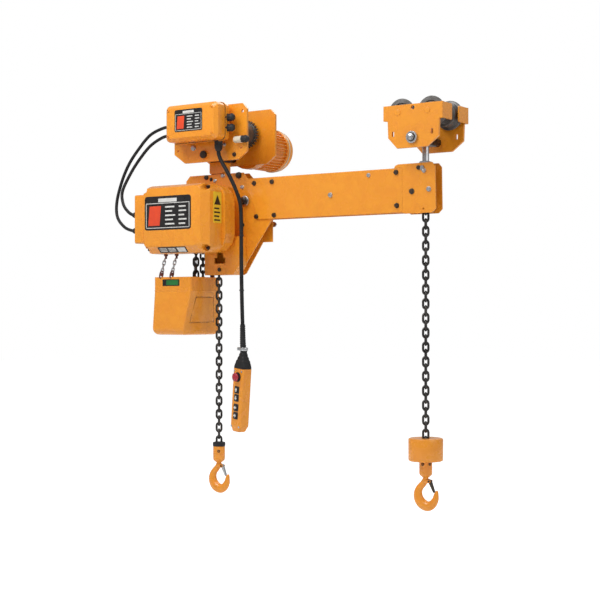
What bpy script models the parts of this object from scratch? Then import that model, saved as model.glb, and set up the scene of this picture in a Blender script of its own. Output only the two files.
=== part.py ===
"""Twin-hook electric chain hoist that hangs on a motor trolley and a plain trolley.

Metres, +Z up.  X runs along the beam, from the motor trolley to the plain trolley, and +Y points
away from the side with the control boxes.  The origin is where the motor trolley stands on the
beam: on the flange's upper face, under the web, halfway between its wheels.
"""
import math

import bmesh
import bpy
from mathutils import Euler, Matrix, Vector
from mathutils.geometry import convex_hull_2d

# ---------------------------------------------------------------- driving dimensions, in metres
GAP = 0.0003                 # clearance between pieces that touch
HOOK_SPAN = 0.750            # from the motor trolley's centre to the plain trolley's centre
CHAIN_D = 0.0071             # load chain wire
CHAIN_STEP = 0.036           # between the planes of the two load chains

# beam and trolleys
FLANGE_HALF = 0.050          # half the width of the beam's lower flange
WHEEL_R = 0.035              # wheel tread
WHEEL_FLANGE_R = WHEEL_R + 0.008
WHEEL_IN = 0.022             # from the web's middle to a wheel's inner face
WHEEL_HUB_R = 0.018
AXLE_R = 0.010
SIDE_IN = 0.072              # from the web's middle to a side plate's inner face
SIDE_T = 0.008
WHEEL_HALF = WHEEL_R + 0.030         # half the wheel spacing of the motor trolley
PLAIN_WHEEL_HALF = WHEEL_FLANGE_R + 0.005
SHAFT_Z = -0.039             # suspension shafts
SHAFT_R = 0.012
BLOCK_HALF = 0.025           # cross block on a suspension shaft
BLOCK_TOP = -0.021
BLOCK_LOW = -0.057
PIN_R = 0.010                # vertical swivel pin and suspension rod
COLLAR_R = 0.016
COLLAR_T = 0.005
WHEEL_TEETH = 26
IDLER_TEETH = 14
WHEEL_MODULE = 2 * WHEEL_HALF / (WHEEL_TEETH + IDLER_TEETH)
TRAVEL_MODULE = 0.0024
TRAVEL_PINION_TEETH = 10
TRAVEL_GEAR_TEETH = 40
TRAVEL_MOTOR_R = 0.070
TRAVEL_MOTOR_LEN = 0.150

# control box on the motor trolley
BOX_X0, BOX_X1 = -0.095, 0.112
BOX_Z0, BOX_Z1 = -0.003, 0.112
BOX_FRONT = -0.165
BOX_SPLIT = -0.120
BOX_BACK = -0.098

# hoist frame and gearbox
FRAME_IN = 0.0133            # from the middle plane to a frame plate's inner face
FRAME_T = 0.004
SHEAVE_X, SHEAVE_Z = -0.023, -0.200
SHEAVE_R = 0.0468            # to the middle of the chain
NECK_R = 0.016               # sheave necks, which run in the plates
ROTOR_R = 0.007              # rotor shaft, inside the hollow sheave
GEAR_MODULE = 0.002
ROTOR_TEETH, BIG_TEETH = 9, 45
SMALL_TEETH, LOAD_TEETH = 12, 42
MOTOR_R = 0.085
MOTOR_LEN = 0.148
COVER_X0, COVER_X1 = -0.160, 0.098
COVER_Z0, COVER_Z1 = -0.354, -0.140
COVER_FRONT = -0.200
COVER_BACK = -0.118
CASE_X0, CASE_X1 = -0.105, 0.110
CASE_Z0, CASE_Z1 = -0.350, -0.138
CASE_BACK = -0.0563
GUIDE_Z0 = -0.420            # underside of the chain guide box

# arm
ARM_TOP, ARM_LOW = -0.117, -0.247
ARM_X0, ARM_X1 = 0.115, HOOK_SPAN - 0.066      # ends short of the plain trolley
END_TOP, END_LOW = -0.106, -0.251
END_X1 = HOOK_SPAN + 0.044   # the end plates reach past it
SPROCKET_R = 0.034           # to the middle of the chain
SPROCKET_Z = -0.187

# chain container
BIN_CREASE = -0.470          # below it the front leans outwards
BIN_BULGE = 0.010
BIN_TAPER = 0.022            # how far the front's right edge leans in
BIN_X0, BIN_X1 = -0.166, -0.016
BIN_Y0, BIN_Y1 = -0.130, 0.020
BIN_TOP, BIN_LOW = -0.426, -0.610
BIN_WALL = 0.003

# hooks, with z counted from each hook's own shoulder
LEFT_CAP_TOP = -0.951
LEFT_CAP_R = 0.020
RIGHT_DRUM_TOP = -0.902
RIGHT_DRUM_R = 0.0505
RIGHT_DRUM_T = 0.066
SHANK_R = 0.008
HOOK_BLOCK_R = 0.019
LATCH_PIVOT = (0.014, -0.014)
HOOK_SHOULDER_Z = -1.012     # underside of the hook blocks
GUIDE_REACH = 0.091          # from the left chain to the inner sprocket

# pendant control
CORD_D = 0.012
PENDANT_TOP = Vector((0.1575, -0.090, -0.712))
PENDANT_YAW = math.radians(-15)
PENDANT_LEAN = math.radians(5)
PENDANT_W, PENDANT_D, PENDANT_L = 0.050, 0.036, 0.196
PENDANT_WALL = 0.003
BUTTON_R = 0.0075
STOP_R = 0.013
MOTOR_CABLE_D = 0.010
SWIVEL_ROOM = 0.0145         # from a gland to its cable, so that the hoist can swivel

# values that follow from the ones above
PLAIN_X = HOOK_SPAN
GEAR_CENTRES = GEAR_MODULE * (ROTOR_TEETH + BIG_TEETH) / 2
IDLE_X = SHEAVE_X + GEAR_CENTRES * math.cos(math.radians(45))
IDLE_Z = SHEAVE_Z - GEAR_CENTRES * math.sin(math.radians(45))
LEFT_CHAIN_X = SHEAVE_X + SHEAVE_R
SLACK_X = SHEAVE_X - SHEAVE_R
FRAME_OUT = FRAME_IN + FRAME_T
ARM_IN = FRAME_OUT + GAP
ARM_OUT = ARM_IN + FRAME_T
OUTER_X = PLAIN_X - SPROCKET_R
INNER_X = LEFT_CHAIN_X + GUIDE_REACH
IDLER_Z = WHEEL_R
TRAVEL_CENTRES = TRAVEL_MODULE * (TRAVEL_PINION_TEETH + TRAVEL_GEAR_TEETH) / 2
TRAVEL_X = 0.8 * TRAVEL_CENTRES
TRAVEL_Z = IDLER_Z - 0.6 * TRAVEL_CENTRES
SIDE_OUT = SIDE_IN + SIDE_T
RING_Y0, RING_Y1 = FLANGE_HALF + 0.0023, FLANGE_HALF + 0.0100
CASE_Y0 = SIDE_OUT + GAP
CASE_Y1 = CASE_Y0 + 0.026

ORANGE = (0.88, 0.38, 0.04)
BLACK = (0.02, 0.02, 0.022)
STEEL = (0.55, 0.56, 0.58)
DARK = (0.06, 0.06, 0.065)


# ---------------------------------------------------------------- mesh helpers
def mesh_of(points, faces):
    """A mesh of those points and faces, with its faces turned outwards."""
    mesh = bpy.data.meshes.new("solid")
    mesh.from_pydata([tuple(p) for p in points], [], faces)
    work = bmesh.new()
    work.from_mesh(mesh)
    bmesh.ops.remove_doubles(work, verts=work.verts, dist=1e-7)
    bmesh.ops.recalc_face_normals(work, faces=work.faces)
    if work.calc_volume(signed=True) < 0:
        bmesh.ops.reverse_faces(work, faces=work.faces)
    work.to_mesh(mesh)
    work.free()
    return mesh


def upright(u, v, depth):
    """The point at (u, v) across a piece that is extruded along Y."""
    return Vector((u, depth, v))


def level(u, v, depth):
    """The point at (u, v) across a piece that is extruded along Z."""
    return Vector((u, v, depth))


def along(u, v, depth):
    """The point at (u, v) across a piece that is extruded along X."""
    return Vector((depth, u, v))


def slab(outline, low, high, holes=(), place=upright):
    """A flat plate of an outline in the plane's own two coordinates, with holes through it."""
    flat = bmesh.new()
    edges = []
    for loop in (outline, *holes):
        corners = [flat.verts.new((u, v, 0)) for u, v in loop]
        edges += [flat.edges.new((a, b)) for a, b in zip(corners, corners[1:] + corners[:1])]
    bmesh.ops.triangle_fill(flat, use_beauty=True, edges=edges)
    flat.verts.index_update()
    count = len(flat.verts)
    points = [place(p.co.x, p.co.y, depth) for depth in (low, high) for p in flat.verts]
    faces = []
    for face in flat.faces:
        ring = [p.index for p in face.verts]
        faces.append(ring)
        faces.append([i + count for i in reversed(ring)])
    for edge in flat.edges:
        if len(edge.link_faces) == 1:
            a, b = (p.index for p in edge.verts)
            faces.append([a, b, b + count, a + count])
    flat.free()
    return mesh_of(points, faces)


def lofted(rings):
    """A solid through rings of equally many points, closed by its first and last ring."""
    count = len(rings[0])
    points = [p for ring in rings for p in ring]
    faces = [list(range(count)), list(range(len(points) - count, len(points)))]
    for row in range(len(rings) - 1):
        for i in range(count):
            j = (i + 1) % count
            base = row * count
            faces.append([base + i, base + j, base + count + j, base + count + i])
    return mesh_of(points, faces)


def turned(profile, centre, place=upright, sides=20, closed=False):
    """A profile of (radius, depth) turned round the axis through centre."""
    points, rows, faces = [], [], []
    for radius, depth in profile:
        steps = sides if radius > 0 else 1
        row = []
        for k in range(steps):
            turn = 2 * math.pi * k / sides
            row.append(len(points))
            u = centre[0] + radius * math.cos(turn)
            v = centre[1] + radius * math.sin(turn)
            points.append(place(u, v, depth))
        rows.append(row)
    pairs = list(zip(rows, rows[1:]))
    if closed:
        pairs.append((rows[-1], rows[0]))
    for first, second in pairs:
        for k in range(sides):
            n = (k + 1) % sides
            quad = [first[k % len(first)], first[n % len(first)],
                    second[n % len(second)], second[k % len(second)]]
            face = list(dict.fromkeys(quad))
            if len(face) > 2:
                faces.append(face)
    return mesh_of(points, faces)


def rod(radius, low, high, centre, place=upright, sides=14):
    return turned([(0, low), (radius, low), (radius, high), (0, high)], centre, place, sides)


def tube(outer, inner, low, high, centre, place=upright, sides=20):
    loop = [(inner, low), (outer, low), (outer, high), (inner, high)]
    return turned(loop, centre, place, sides, closed=True)


def swept(points, radii, sides=12, squeeze=1.0, across=Vector((0, 1, 0))):
    """A round bar through points with its own radius at each, narrowed along 'across'."""
    rings = []
    for i, (point, radius) in enumerate(zip(points, radii)):
        ahead = (points[min(i + 1, len(points) - 1)] - points[max(i - 1, 0)]).normalized()
        side = ahead.cross(across).normalized()
        rings.append([point + radius * (side * math.cos(t) + across * squeeze * math.sin(t))
                      for t in (2 * math.pi * k / sides for k in range(sides))])
    return lofted(rings)


def combined(first, others, operation):
    """The first mesh joined with, or cut by, the others, worked out near the origin."""
    middle = sum((p.co for p in first.vertices), Vector()) / len(first.vertices)
    tools = []
    for mesh in (first, *others):
        mesh.transform(Matrix.Translation(-middle))
        tool = bpy.data.objects.new("tool", mesh)
        tool.hide_render = True
        tool.display_type = "WIRE"
        bpy.context.collection.objects.link(tool)
        tools.append(tool)
    body = tools[0]
    for tool in tools[1:]:
        step = body.modifiers.new("step", "BOOLEAN")
        step.operation = operation
        step.solver = "EXACT"
        step.object = tool
    graph = bpy.context.evaluated_depsgraph_get()
    mesh = bpy.data.meshes.new_from_object(body.evaluated_get(graph))
    for tool in tools:
        bpy.data.objects.remove(tool)
    work = bmesh.new()
    work.from_mesh(mesh)
    bmesh.ops.remove_doubles(work, verts=work.verts, dist=2e-6)
    bmesh.ops.dissolve_degenerate(work, edges=work.edges, dist=2e-6)
    work.to_mesh(mesh)
    work.free()
    mesh.transform(Matrix.Translation(middle))
    return mesh


def joined(first, *others):
    return combined(first, others, "UNION")


def cut(first, *others):
    return combined(first, others, "DIFFERENCE")


# ---------------------------------------------------------------- outlines
def circle(u, v, radius, sides=14):
    return [(u + radius * math.cos(2 * math.pi * k / sides),
             v + radius * math.sin(2 * math.pi * k / sides)) for k in range(sides)]


def rounded(u0, u1, v0, v1, radius, steps=3):
    """A rectangle with round corners."""
    outline = []
    corners = ((u1, v1, 0), (u0, v1, 90), (u0, v0, 180), (u1, v0, 270))
    for u, v, start in corners:
        cu = u - math.copysign(radius, u - (u0 + u1) / 2)
        cv = v - math.copysign(radius, v - (v0 + v1) / 2)
        for k in range(steps + 1):
            turn = math.radians(start + 90 * k / steps)
            outline.append((cu + radius * math.cos(turn), cv + radius * math.sin(turn)))
    return outline


def hull(outlines):
    """The outline of a band stretched round several outlines."""
    dots = [Vector(p) for outline in outlines for p in outline]
    return [tuple(dots[i]) for i in convex_hull_2d(dots)]


def belt(first, first_r, second, second_r):
    """The outline round two circles, as a belt would run."""
    return hull([circle(*first, first_r, 24), circle(*second, second_r, 24)])


def gear(teeth, module, centre, turn=0.0, play=0.04):
    """A spur gear's outline, with tapering teeth a little thinner than their gaps."""
    pitch = teeth * module / 2
    step = 2 * math.pi / teeth
    outline = []
    for k in range(teeth):
        middle = turn + k * step
        corners = ((-0.36, -1.2), (-0.12, 0.9), (0.12, 0.9), (0.36, -1.2))
        for share, height in corners:
            angle = middle + (share - math.copysign(play, share)) * step
            radius = pitch + height * module
            outline.append((centre[0] + radius * math.cos(angle),
                            centre[1] + radius * math.sin(angle)))
    return outline


def smooth(route, spacing):
    """Points about 'spacing' apart on a smooth curve through the route."""
    dots = [Vector(p) for p in route]
    ends = [2 * dots[0] - dots[1], *dots, 2 * dots[-1] - dots[-2]]
    path = []
    for a, b, c, d in zip(ends, ends[1:], ends[2:], ends[3:]):
        steps = max(1, round((c - b).length / spacing))
        for k in range(steps):
            t = k / steps
            path.append(0.5 * (2 * b + (c - a) * t + (2 * a - 5 * b + 4 * c - d) * t ** 2
                               + (3 * b - a - 3 * c + d) * t ** 3))
    return path + [dots[-1]]


# ---------------------------------------------------------------- scene helpers
def paint(name, colour, roughness=0.4, metallic=0.0):
    material = bpy.data.materials.get(name) or bpy.data.materials.new(name)
    material.use_nodes = True
    surface = material.node_tree.nodes["Principled BSDF"]
    surface.inputs["Base Color"].default_value = (*colour, 1.0)
    surface.inputs["Roughness"].default_value = roughness
    surface.inputs["Metallic"].default_value = metallic
    return material


def orange():
    return paint("orange_enamel", ORANGE, 0.32)


def black_plastic():
    return paint("black_plastic", BLACK, 0.45)


def bright_steel():
    return paint("bright_steel", STEEL, 0.3, 1.0)


def dark_steel():
    return paint("dark_steel", DARK, 0.4, 0.9)


def frame_at(name, place):
    """An empty that carries the pieces of one moving body."""
    empty = bpy.data.objects.new(name, None)
    empty.location = place
    bpy.context.collection.objects.link(empty)
    return empty


def put(name, mesh, material, body, origin=None, turn=None):
    """One piece, whose mesh is given in the model's frame, with its origin at 'origin'."""
    origin = Vector(origin) if origin is not None else body.location.copy()
    piece = bpy.data.objects.new(name, mesh)
    pose = Matrix.Translation(origin) @ (turn.to_matrix().to_4x4() if turn else Matrix())
    mesh.name = name
    mesh.transform(pose.inverted())
    mesh.materials.clear()
    mesh.materials.append(material)
    mesh.polygons.foreach_set("material_index", [0] * len(mesh.polygons))
    mesh.shade_smooth()
    mesh.set_sharp_from_angle(angle=math.radians(35))
    piece.location = origin - body.location
    if turn:
        piece.rotation_euler = turn
    piece.parent = body
    bpy.context.collection.objects.link(piece)
    return piece


def put_cord(name, route, diameter, material, body):
    """A cord's plain tube along its route."""
    path = smooth(route, 2.6 * diameter)
    curve = bpy.data.curves.new(name, "CURVE")
    curve.dimensions = "3D"
    curve.bevel_depth = diameter / 2
    curve.bevel_resolution = 2
    curve.use_fill_caps = True
    line = curve.splines.new("POLY")
    line.points.add(len(path) - 1)
    for point, place in zip(line.points, path):
        point.co = (*(place - body.location), 1.0)
    curve.materials.append(material)
    cord = bpy.data.objects.new(name, curve)
    cord.parent = body
    bpy.context.collection.objects.link(cord)
    return cord


# ---------------------------------------------------------------- trolleys
def trolley_shaft(x, rear_end):
    """A suspension shaft with the cross block that the swivel pin passes through."""
    shaft = rod(SHAFT_R, -SIDE_OUT - 0.010, rear_end, (x, SHAFT_Z))
    middle = slab(rounded(x - BLOCK_HALF, x + BLOCK_HALF, BLOCK_LOW, BLOCK_TOP, 0.004),
                  -BLOCK_HALF + 0.003, BLOCK_HALF - 0.003)
    bore = rod(PIN_R + GAP, BLOCK_LOW - 0.01, BLOCK_TOP + 0.01, (x, 0), level)
    return cut(joined(middle, shaft), bore)


def side_plate(x, side, half_spacing, outline, more_holes=(), extra=()):
    """A trolley's side plate with its two fixed wheel axles."""
    y0, y1 = sorted((side * SIDE_IN, side * SIDE_OUT))
    holes = [circle(x, SHAFT_Z, SHAFT_R + GAP), *more_holes]
    plate = slab(outline, y0, y1, holes)
    ends = sorted((side * (WHEEL_IN + 0.002), side * (SIDE_OUT - 0.002)))
    axles = [rod(AXLE_R, *ends, (x + way * half_spacing, WHEEL_R)) for way in (-1, 1)]
    return joined(plate, *axles, *extra)


def wheel(x, side, geared=False, turn=0.0):
    """A flanged wheel, or a wheel whose flange is a gear ring."""
    bore = AXLE_R + GAP
    hub_end = SIDE_IN - GAP
    if not geared:
        edge = FLANGE_HALF + 0.002
        profile = [(bore, WHEEL_IN), (WHEEL_R, WHEEL_IN), (WHEEL_R, edge),
                   (WHEEL_FLANGE_R - 0.002, edge + 0.001), (WHEEL_FLANGE_R, edge + 0.003),
                   (WHEEL_FLANGE_R, edge + 0.007), (WHEEL_HUB_R, edge + 0.008),
                   (WHEEL_HUB_R, hub_end), (bore, hub_end)]
        return turned([(r, side * y) for r, y in profile], (x, WHEEL_R), closed=True)
    profile = [(bore, WHEEL_IN), (WHEEL_R, WHEEL_IN), (WHEEL_R, RING_Y1 + 0.001),
               (WHEEL_HUB_R, RING_Y1 + 0.001), (WHEEL_HUB_R, hub_end), (bore, hub_end)]
    hub = turned([(r, side * y) for r, y in profile], (x, WHEEL_R), closed=True)
    ring = slab(gear(WHEEL_TEETH, WHEEL_MODULE, (x, WHEEL_R), turn), RING_Y0, RING_Y1,
                [circle(x, WHEEL_R, WHEEL_R - 0.005)])
    return joined(hub, ring)


def drive_trolley(body):
    low, high = -0.062, 0.112
    outline = [(-0.080, low), (0.132, low), (0.166, -0.038), (0.166, 0.094), (0.149, high),
               (-0.105, high), (-0.123, 0.094), (-0.123, -0.032)]
    small = [circle(-0.108, -0.021, 0.0035, 12), circle(0.144, -0.026, 0.0035, 12),
             circle(0.149, 0.087, 0.005, 12)]
    put("drive_plate_front", side_plate(0, -1, WHEEL_HALF, outline, small), orange(), body)
    bore = circle(0, IDLER_Z, 0.010 + GAP)
    put("drive_plate_rear", side_plate(0, 1, WHEEL_HALF, outline, [bore]), orange(), body)
    put("drive_trolley_shaft", trolley_shaft(0, SIDE_OUT - 0.001), dark_steel(), body)

    half_step = math.pi / WHEEL_TEETH
    for end, way in (("left", -1), ("right", 1)):
        x = way * WHEEL_HALF
        mesh = wheel(x, -1)
        put(f"drive_wheel_front_{end}", mesh, dark_steel(), body, (x, 0, WHEEL_R))
        turn = (math.pi if way > 0 else 0) + half_step
        mesh = wheel(x, 1, True, turn)
        put(f"drive_wheel_rear_{end}", mesh, dark_steel(), body, (x, 0, WHEEL_R))

    lean = math.atan2(TRAVEL_Z - IDLER_Z, TRAVEL_X)
    gear_y0, gear_y1 = CASE_Y0 + 0.004, CASE_Y0 + 0.013
    shaft = rod(0.010, RING_Y0 - 0.004, gear_y1 + 0.002, (0, IDLER_Z))
    idler = slab(gear(IDLER_TEETH, WHEEL_MODULE, (0, IDLER_Z)), RING_Y0, RING_Y1)
    driven = slab(gear(TRAVEL_GEAR_TEETH, TRAVEL_MODULE, (0, IDLER_Z), lean), gear_y0, gear_y1)
    put("wheel_pinion", joined(shaft, idler, driven), bright_steel(), body, (0, 0, IDLER_Z))

    motor = (TRAVEL_X, TRAVEL_Z)
    teeth_r = TRAVEL_MODULE * (TRAVEL_PINION_TEETH / 2 + 1)
    outer = slab(belt((0, IDLER_Z), 0.057, motor, TRAVEL_MOTOR_R + 0.002), CASE_Y0, CASE_Y1)
    inner = slab(belt((0, IDLER_Z), 0.053, motor, 0.060), CASE_Y0 - 0.005, CASE_Y1 - 0.004)
    opening = rod(teeth_r + 0.001, CASE_Y0, CASE_Y1 + 0.005, motor)
    put("trolley_gear_case", cut(outer, inner, opening), orange(), body)

    y0, y1 = CASE_Y1 + GAP, CASE_Y1 + TRAVEL_MOTOR_LEN
    core_y0, core_y1, core_r = y0 + 0.032, y1 - 0.034, 0.044
    wall = TRAVEL_MOTOR_R - 0.005
    shell = turned([(0, y1), (TRAVEL_MOTOR_R - 0.010, y1), (TRAVEL_MOTOR_R, y1 - 0.010),
                    (TRAVEL_MOTOR_R, y0), (wall, y0), (wall, core_y0 - 0.004),
                    (core_r + 0.001, core_y0 - 0.002), (core_r + 0.001, core_y1 + 0.002),
                    (wall, core_y1 + 0.004), (wall, y1 - 0.006), (0, y1 - 0.006)], motor)
    put("trolley_motor_housing", shell, orange(), body)
    pinion = gear(TRAVEL_PINION_TEETH, TRAVEL_MODULE, motor,
                  lean + math.pi + math.pi / TRAVEL_PINION_TEETH)
    shaft = turned([(0, gear_y0 - 0.002), (ROTOR_R, gear_y0 - 0.002), (ROTOR_R, core_y0),
                    (core_r, core_y0), (core_r, core_y1), (ROTOR_R, core_y1),
                    (ROTOR_R, y1 - 0.008), (0, y1 - 0.008)], motor)
    rotor = joined(shaft, slab(pinion, gear_y0, gear_y1))
    put("trolley_rotor", rotor, bright_steel(), body, (TRAVEL_X, 0, TRAVEL_Z))


def ring_at(x0, x1, z0, z1, radius, y):
    return [upright(u, v, y) for u, v in rounded(x0, x1, z0, z1, radius, 3)]


def control_box(body):
    """The box on the motor trolley: a base on two feet and a bevelled lid."""
    x0, x1, z0, z1 = BOX_X0, BOX_X1, BOX_Z0, BOX_Z1
    wall, lip, corner = 0.003, 0.003, 0.016
    joint = BOX_SPLIT + GAP
    inside = (x0 + wall, x1 - wall, z0 + wall, z1 - wall, corner - wall)
    base = lofted([
        ring_at(*inside, BOX_BACK - wall), ring_at(*inside, joint),
        ring_at(x0 - lip, x1 + lip, z0 - lip, z1 + lip, corner + lip, joint),
        ring_at(x0 - lip, x1 + lip, z0 - lip, z1 + lip, corner + lip, joint + 0.005),
        ring_at(x0, x1, z0, z1, corner, joint + 0.005),
        ring_at(x0, x1, z0, z1, corner, BOX_BACK)])
    middle = (BOX_SPLIT + BOX_BACK) / 2 + 0.001
    feet = [slab(rounded(x, x + 0.030, z0 + 0.030, z1 - 0.030, 0.004),
                 BOX_BACK - 0.002, -SIDE_OUT - GAP) for x in (-0.070, 0.050)]
    glands = [rod(0.009, x1 - 0.002, x1 + 0.022, (middle, z), along) for z in (0.034, 0.066)]
    glands += [rod(0.008, x0 - 0.014, x0 + 0.002, (middle, z), along) for z in (0.026, 0.054)]
    glands.append(rod(0.0095, z0 - 0.024, z0 + 0.002, (0.077, middle), level))
    put("control_box_base", joined(base, *feet, *glands), orange(), body)
    bevel = 0.012
    slope = bevel + 0.4 * wall
    lid = lofted([
        ring_at(x0 + slope, x1 - slope, z0 + slope, z1 - slope, corner - 0.006, BOX_FRONT + wall),
        ring_at(*inside, BOX_FRONT + slope), ring_at(*inside, BOX_SPLIT),
        ring_at(x0, x1, z0, z1, corner, BOX_SPLIT),
        ring_at(x0, x1, z0, z1, corner, BOX_FRONT + bevel),
        ring_at(x0 + bevel, x1 - bevel, z0 + bevel, z1 - bevel, corner - 0.004, BOX_FRONT)])
    put("control_box_lid", lid, orange(), body)


def plain_trolley(body):
    x = PLAIN_X
    tab_x = x + PLAIN_WHEEL_HALF + WHEEL_FLANGE_R + 0.0015
    edge = tab_x + 0.0045
    outline = [(x - 0.050, -0.068), (x + 0.047, -0.068), (x + 0.084, -0.040), (x + 0.086, 0.009),
               (edge, 0.009), (edge, 0.056), (x - 0.095, 0.056), (x - 0.095, 0.013),
               (x - 0.081, 0.011), (x - 0.079, -0.037)]
    slots = [rounded(u - 0.0035, u + 0.0035, -0.034, -0.018, 0.003, 2)
             for u in (x - 0.063, x + 0.063)]
    slots.append(circle(x + 0.001, 0.046, 0.006, 12))
    for name, side in (("front", -1), ("rear", 1)):
        ends = sorted((side * (SIDE_OUT - 0.001), side * WHEEL_IN))
        tab = slab(rounded(*ends, 0.0095, 0.0555, 0.003, 2), tab_x, edge - 0.0002, place=along)
        plate = side_plate(x, side, PLAIN_WHEEL_HALF, outline, slots, [tab])
        put(f"plain_plate_{name}", plate, orange(), body)
        for end, way in (("left", -1), ("right", 1)):
            at = x + way * (PLAIN_WHEEL_HALF)
            put(f"plain_wheel_{name}_{end}", wheel(at, side), dark_steel(), body,
                (at, 0, WHEEL_R))
    put("plain_trolley_shaft", trolley_shaft(x, SIDE_OUT + 0.010), dark_steel(), body)


# ---------------------------------------------------------------- hoist
def hanger_top(x):
    """The pin and collar that hang in a trolley's cross block."""
    top = BLOCK_TOP + GAP
    return [rod(PIN_R, BLOCK_LOW - 0.005, top + 0.001, (x, 0), level),
            rod(COLLAR_R, top, top + COLLAR_T, (x, 0), level)]


def suspension(body):
    neck = slab(rounded(-0.027, 0.027, -0.094, BLOCK_LOW - GAP, 0.005), -0.020, 0.020)
    tongue = slab(rounded(-0.027, 0.027, -0.142, -0.090, 0.004), -FRAME_IN + GAP,
                  FRAME_IN - GAP)
    put("suspension_bracket", joined(neck, tongue, *hanger_top(0)), orange(), body)
    eye = slab(rounded(PLAIN_X - 0.015, PLAIN_X + 0.015, -0.138, -0.100, 0.006),
               -FRAME_IN + GAP, FRAME_IN - GAP)
    bar = rod(PIN_R, -0.110, BLOCK_TOP + 0.002, (PLAIN_X, 0), level)
    collar = rod(COLLAR_R, BLOCK_TOP + GAP, BLOCK_TOP + GAP + COLLAR_T, (PLAIN_X, 0), level)
    pin = rod(0.007, -ARM_OUT - 0.003, ARM_OUT + 0.003, (PLAIN_X, -0.121))
    put("suspension_rod", joined(eye, bar, collar, pin), bright_steel(), body)


def frame(body):
    """The two frame plates that the gearbox, motor, arm and suspension bolt to."""
    left, arm_end = -0.125, 0.250
    front = [(left, -0.345), (left, -0.112), (left + 0.016, -0.096), (0.105, -0.096),
             (0.125, ARM_TOP), (arm_end, ARM_TOP), (arm_end, ARM_LOW + 0.012), (0.218, ARM_LOW),
             (0.095, -0.414), (0.086, -0.419), (-0.030, -0.419), (-0.030, -0.345)]
    rear = front[:6] + [(arm_end, -0.238), (0.197, -0.244), (0.197, -0.317), (0.160, -0.317),
                        (0.095, -0.414)] + front[9:]
    axle = circle(INNER_X, SPROCKET_Z, 0.008 + GAP, 16)
    sheave = circle(SHEAVE_X, SHEAVE_Z, NECK_R + GAP, 20)
    y0, y1 = -FRAME_OUT, -FRAME_IN
    put("frame_plate_front", slab(front, y0, y1, [axle, sheave]), orange(), body)
    plate = slab(rear, FRAME_IN, FRAME_OUT, [axle, sheave, circle(0.156, -0.295, 0.004, 12)])
    spacers = [rod(0.007, -FRAME_IN + GAP, FRAME_IN + 0.001, place, sides=14)
               for place in ((-0.108, -0.122), (-0.108, -0.325), (0.075, -0.395), (0.200, -0.222))]
    put("frame_plate_rear", joined(plate, *spacers), orange(), body)


def chain_guide(body):
    """The casting that closes in the left load wheel and guides both chains out below."""
    wall = 0.004
    front, back = CASE_BACK + GAP, -FRAME_OUT - GAP
    left, neck = -0.092, -0.018
    outline = [(left, -0.302), (left, -0.142), (0.062, -0.142), (0.062, -0.300), (0.119, -0.300),
               (0.119, -0.390), (0.095, GUIDE_Z0), (neck, GUIDE_Z0), (neck, -0.302)]
    inside = [(left + wall, -0.302 + wall), (left + wall, -0.142 - wall),
              (0.062 - wall, -0.142 - wall), (0.062 - wall, -0.300 - wall),
              (0.119 - wall, -0.300 - wall), (0.119 - wall, -0.389),
              (0.093, GUIDE_Z0 + wall), (neck + wall, GUIDE_Z0 + wall),
              (neck + wall, -0.302 + wall)]
    body_mesh = slab(outline, front, back)
    hollow = slab(inside, front + wall, back + 0.005)
    bearing = rod(NECK_R + GAP, front - 0.005, front + wall + 0.005, (SHEAVE_X, SHEAVE_Z),
                  sides=20)
    ways = [slab(rounded(x - 0.015, x + 0.015, -CHAIN_STEP - 0.014, -CHAIN_STEP + 0.0135, 0.003),
                 z - 0.005, z + wall + 0.002, place=level)
            for x, z in ((LEFT_CHAIN_X, GUIDE_Z0), (SLACK_X, -0.302))]
    window = slab([(0.020, -0.384), (0.064, -0.384), (0.064, -0.366), (0.055, -0.366),
                   (0.055, -0.350), (0.030, -0.350), (0.030, -0.366), (0.020, -0.366)],
                  front - 0.005, front + wall + 0.005)
    put("chain_guide_box", cut(body_mesh, hollow, bearing, *ways, window), orange(), body)


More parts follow.
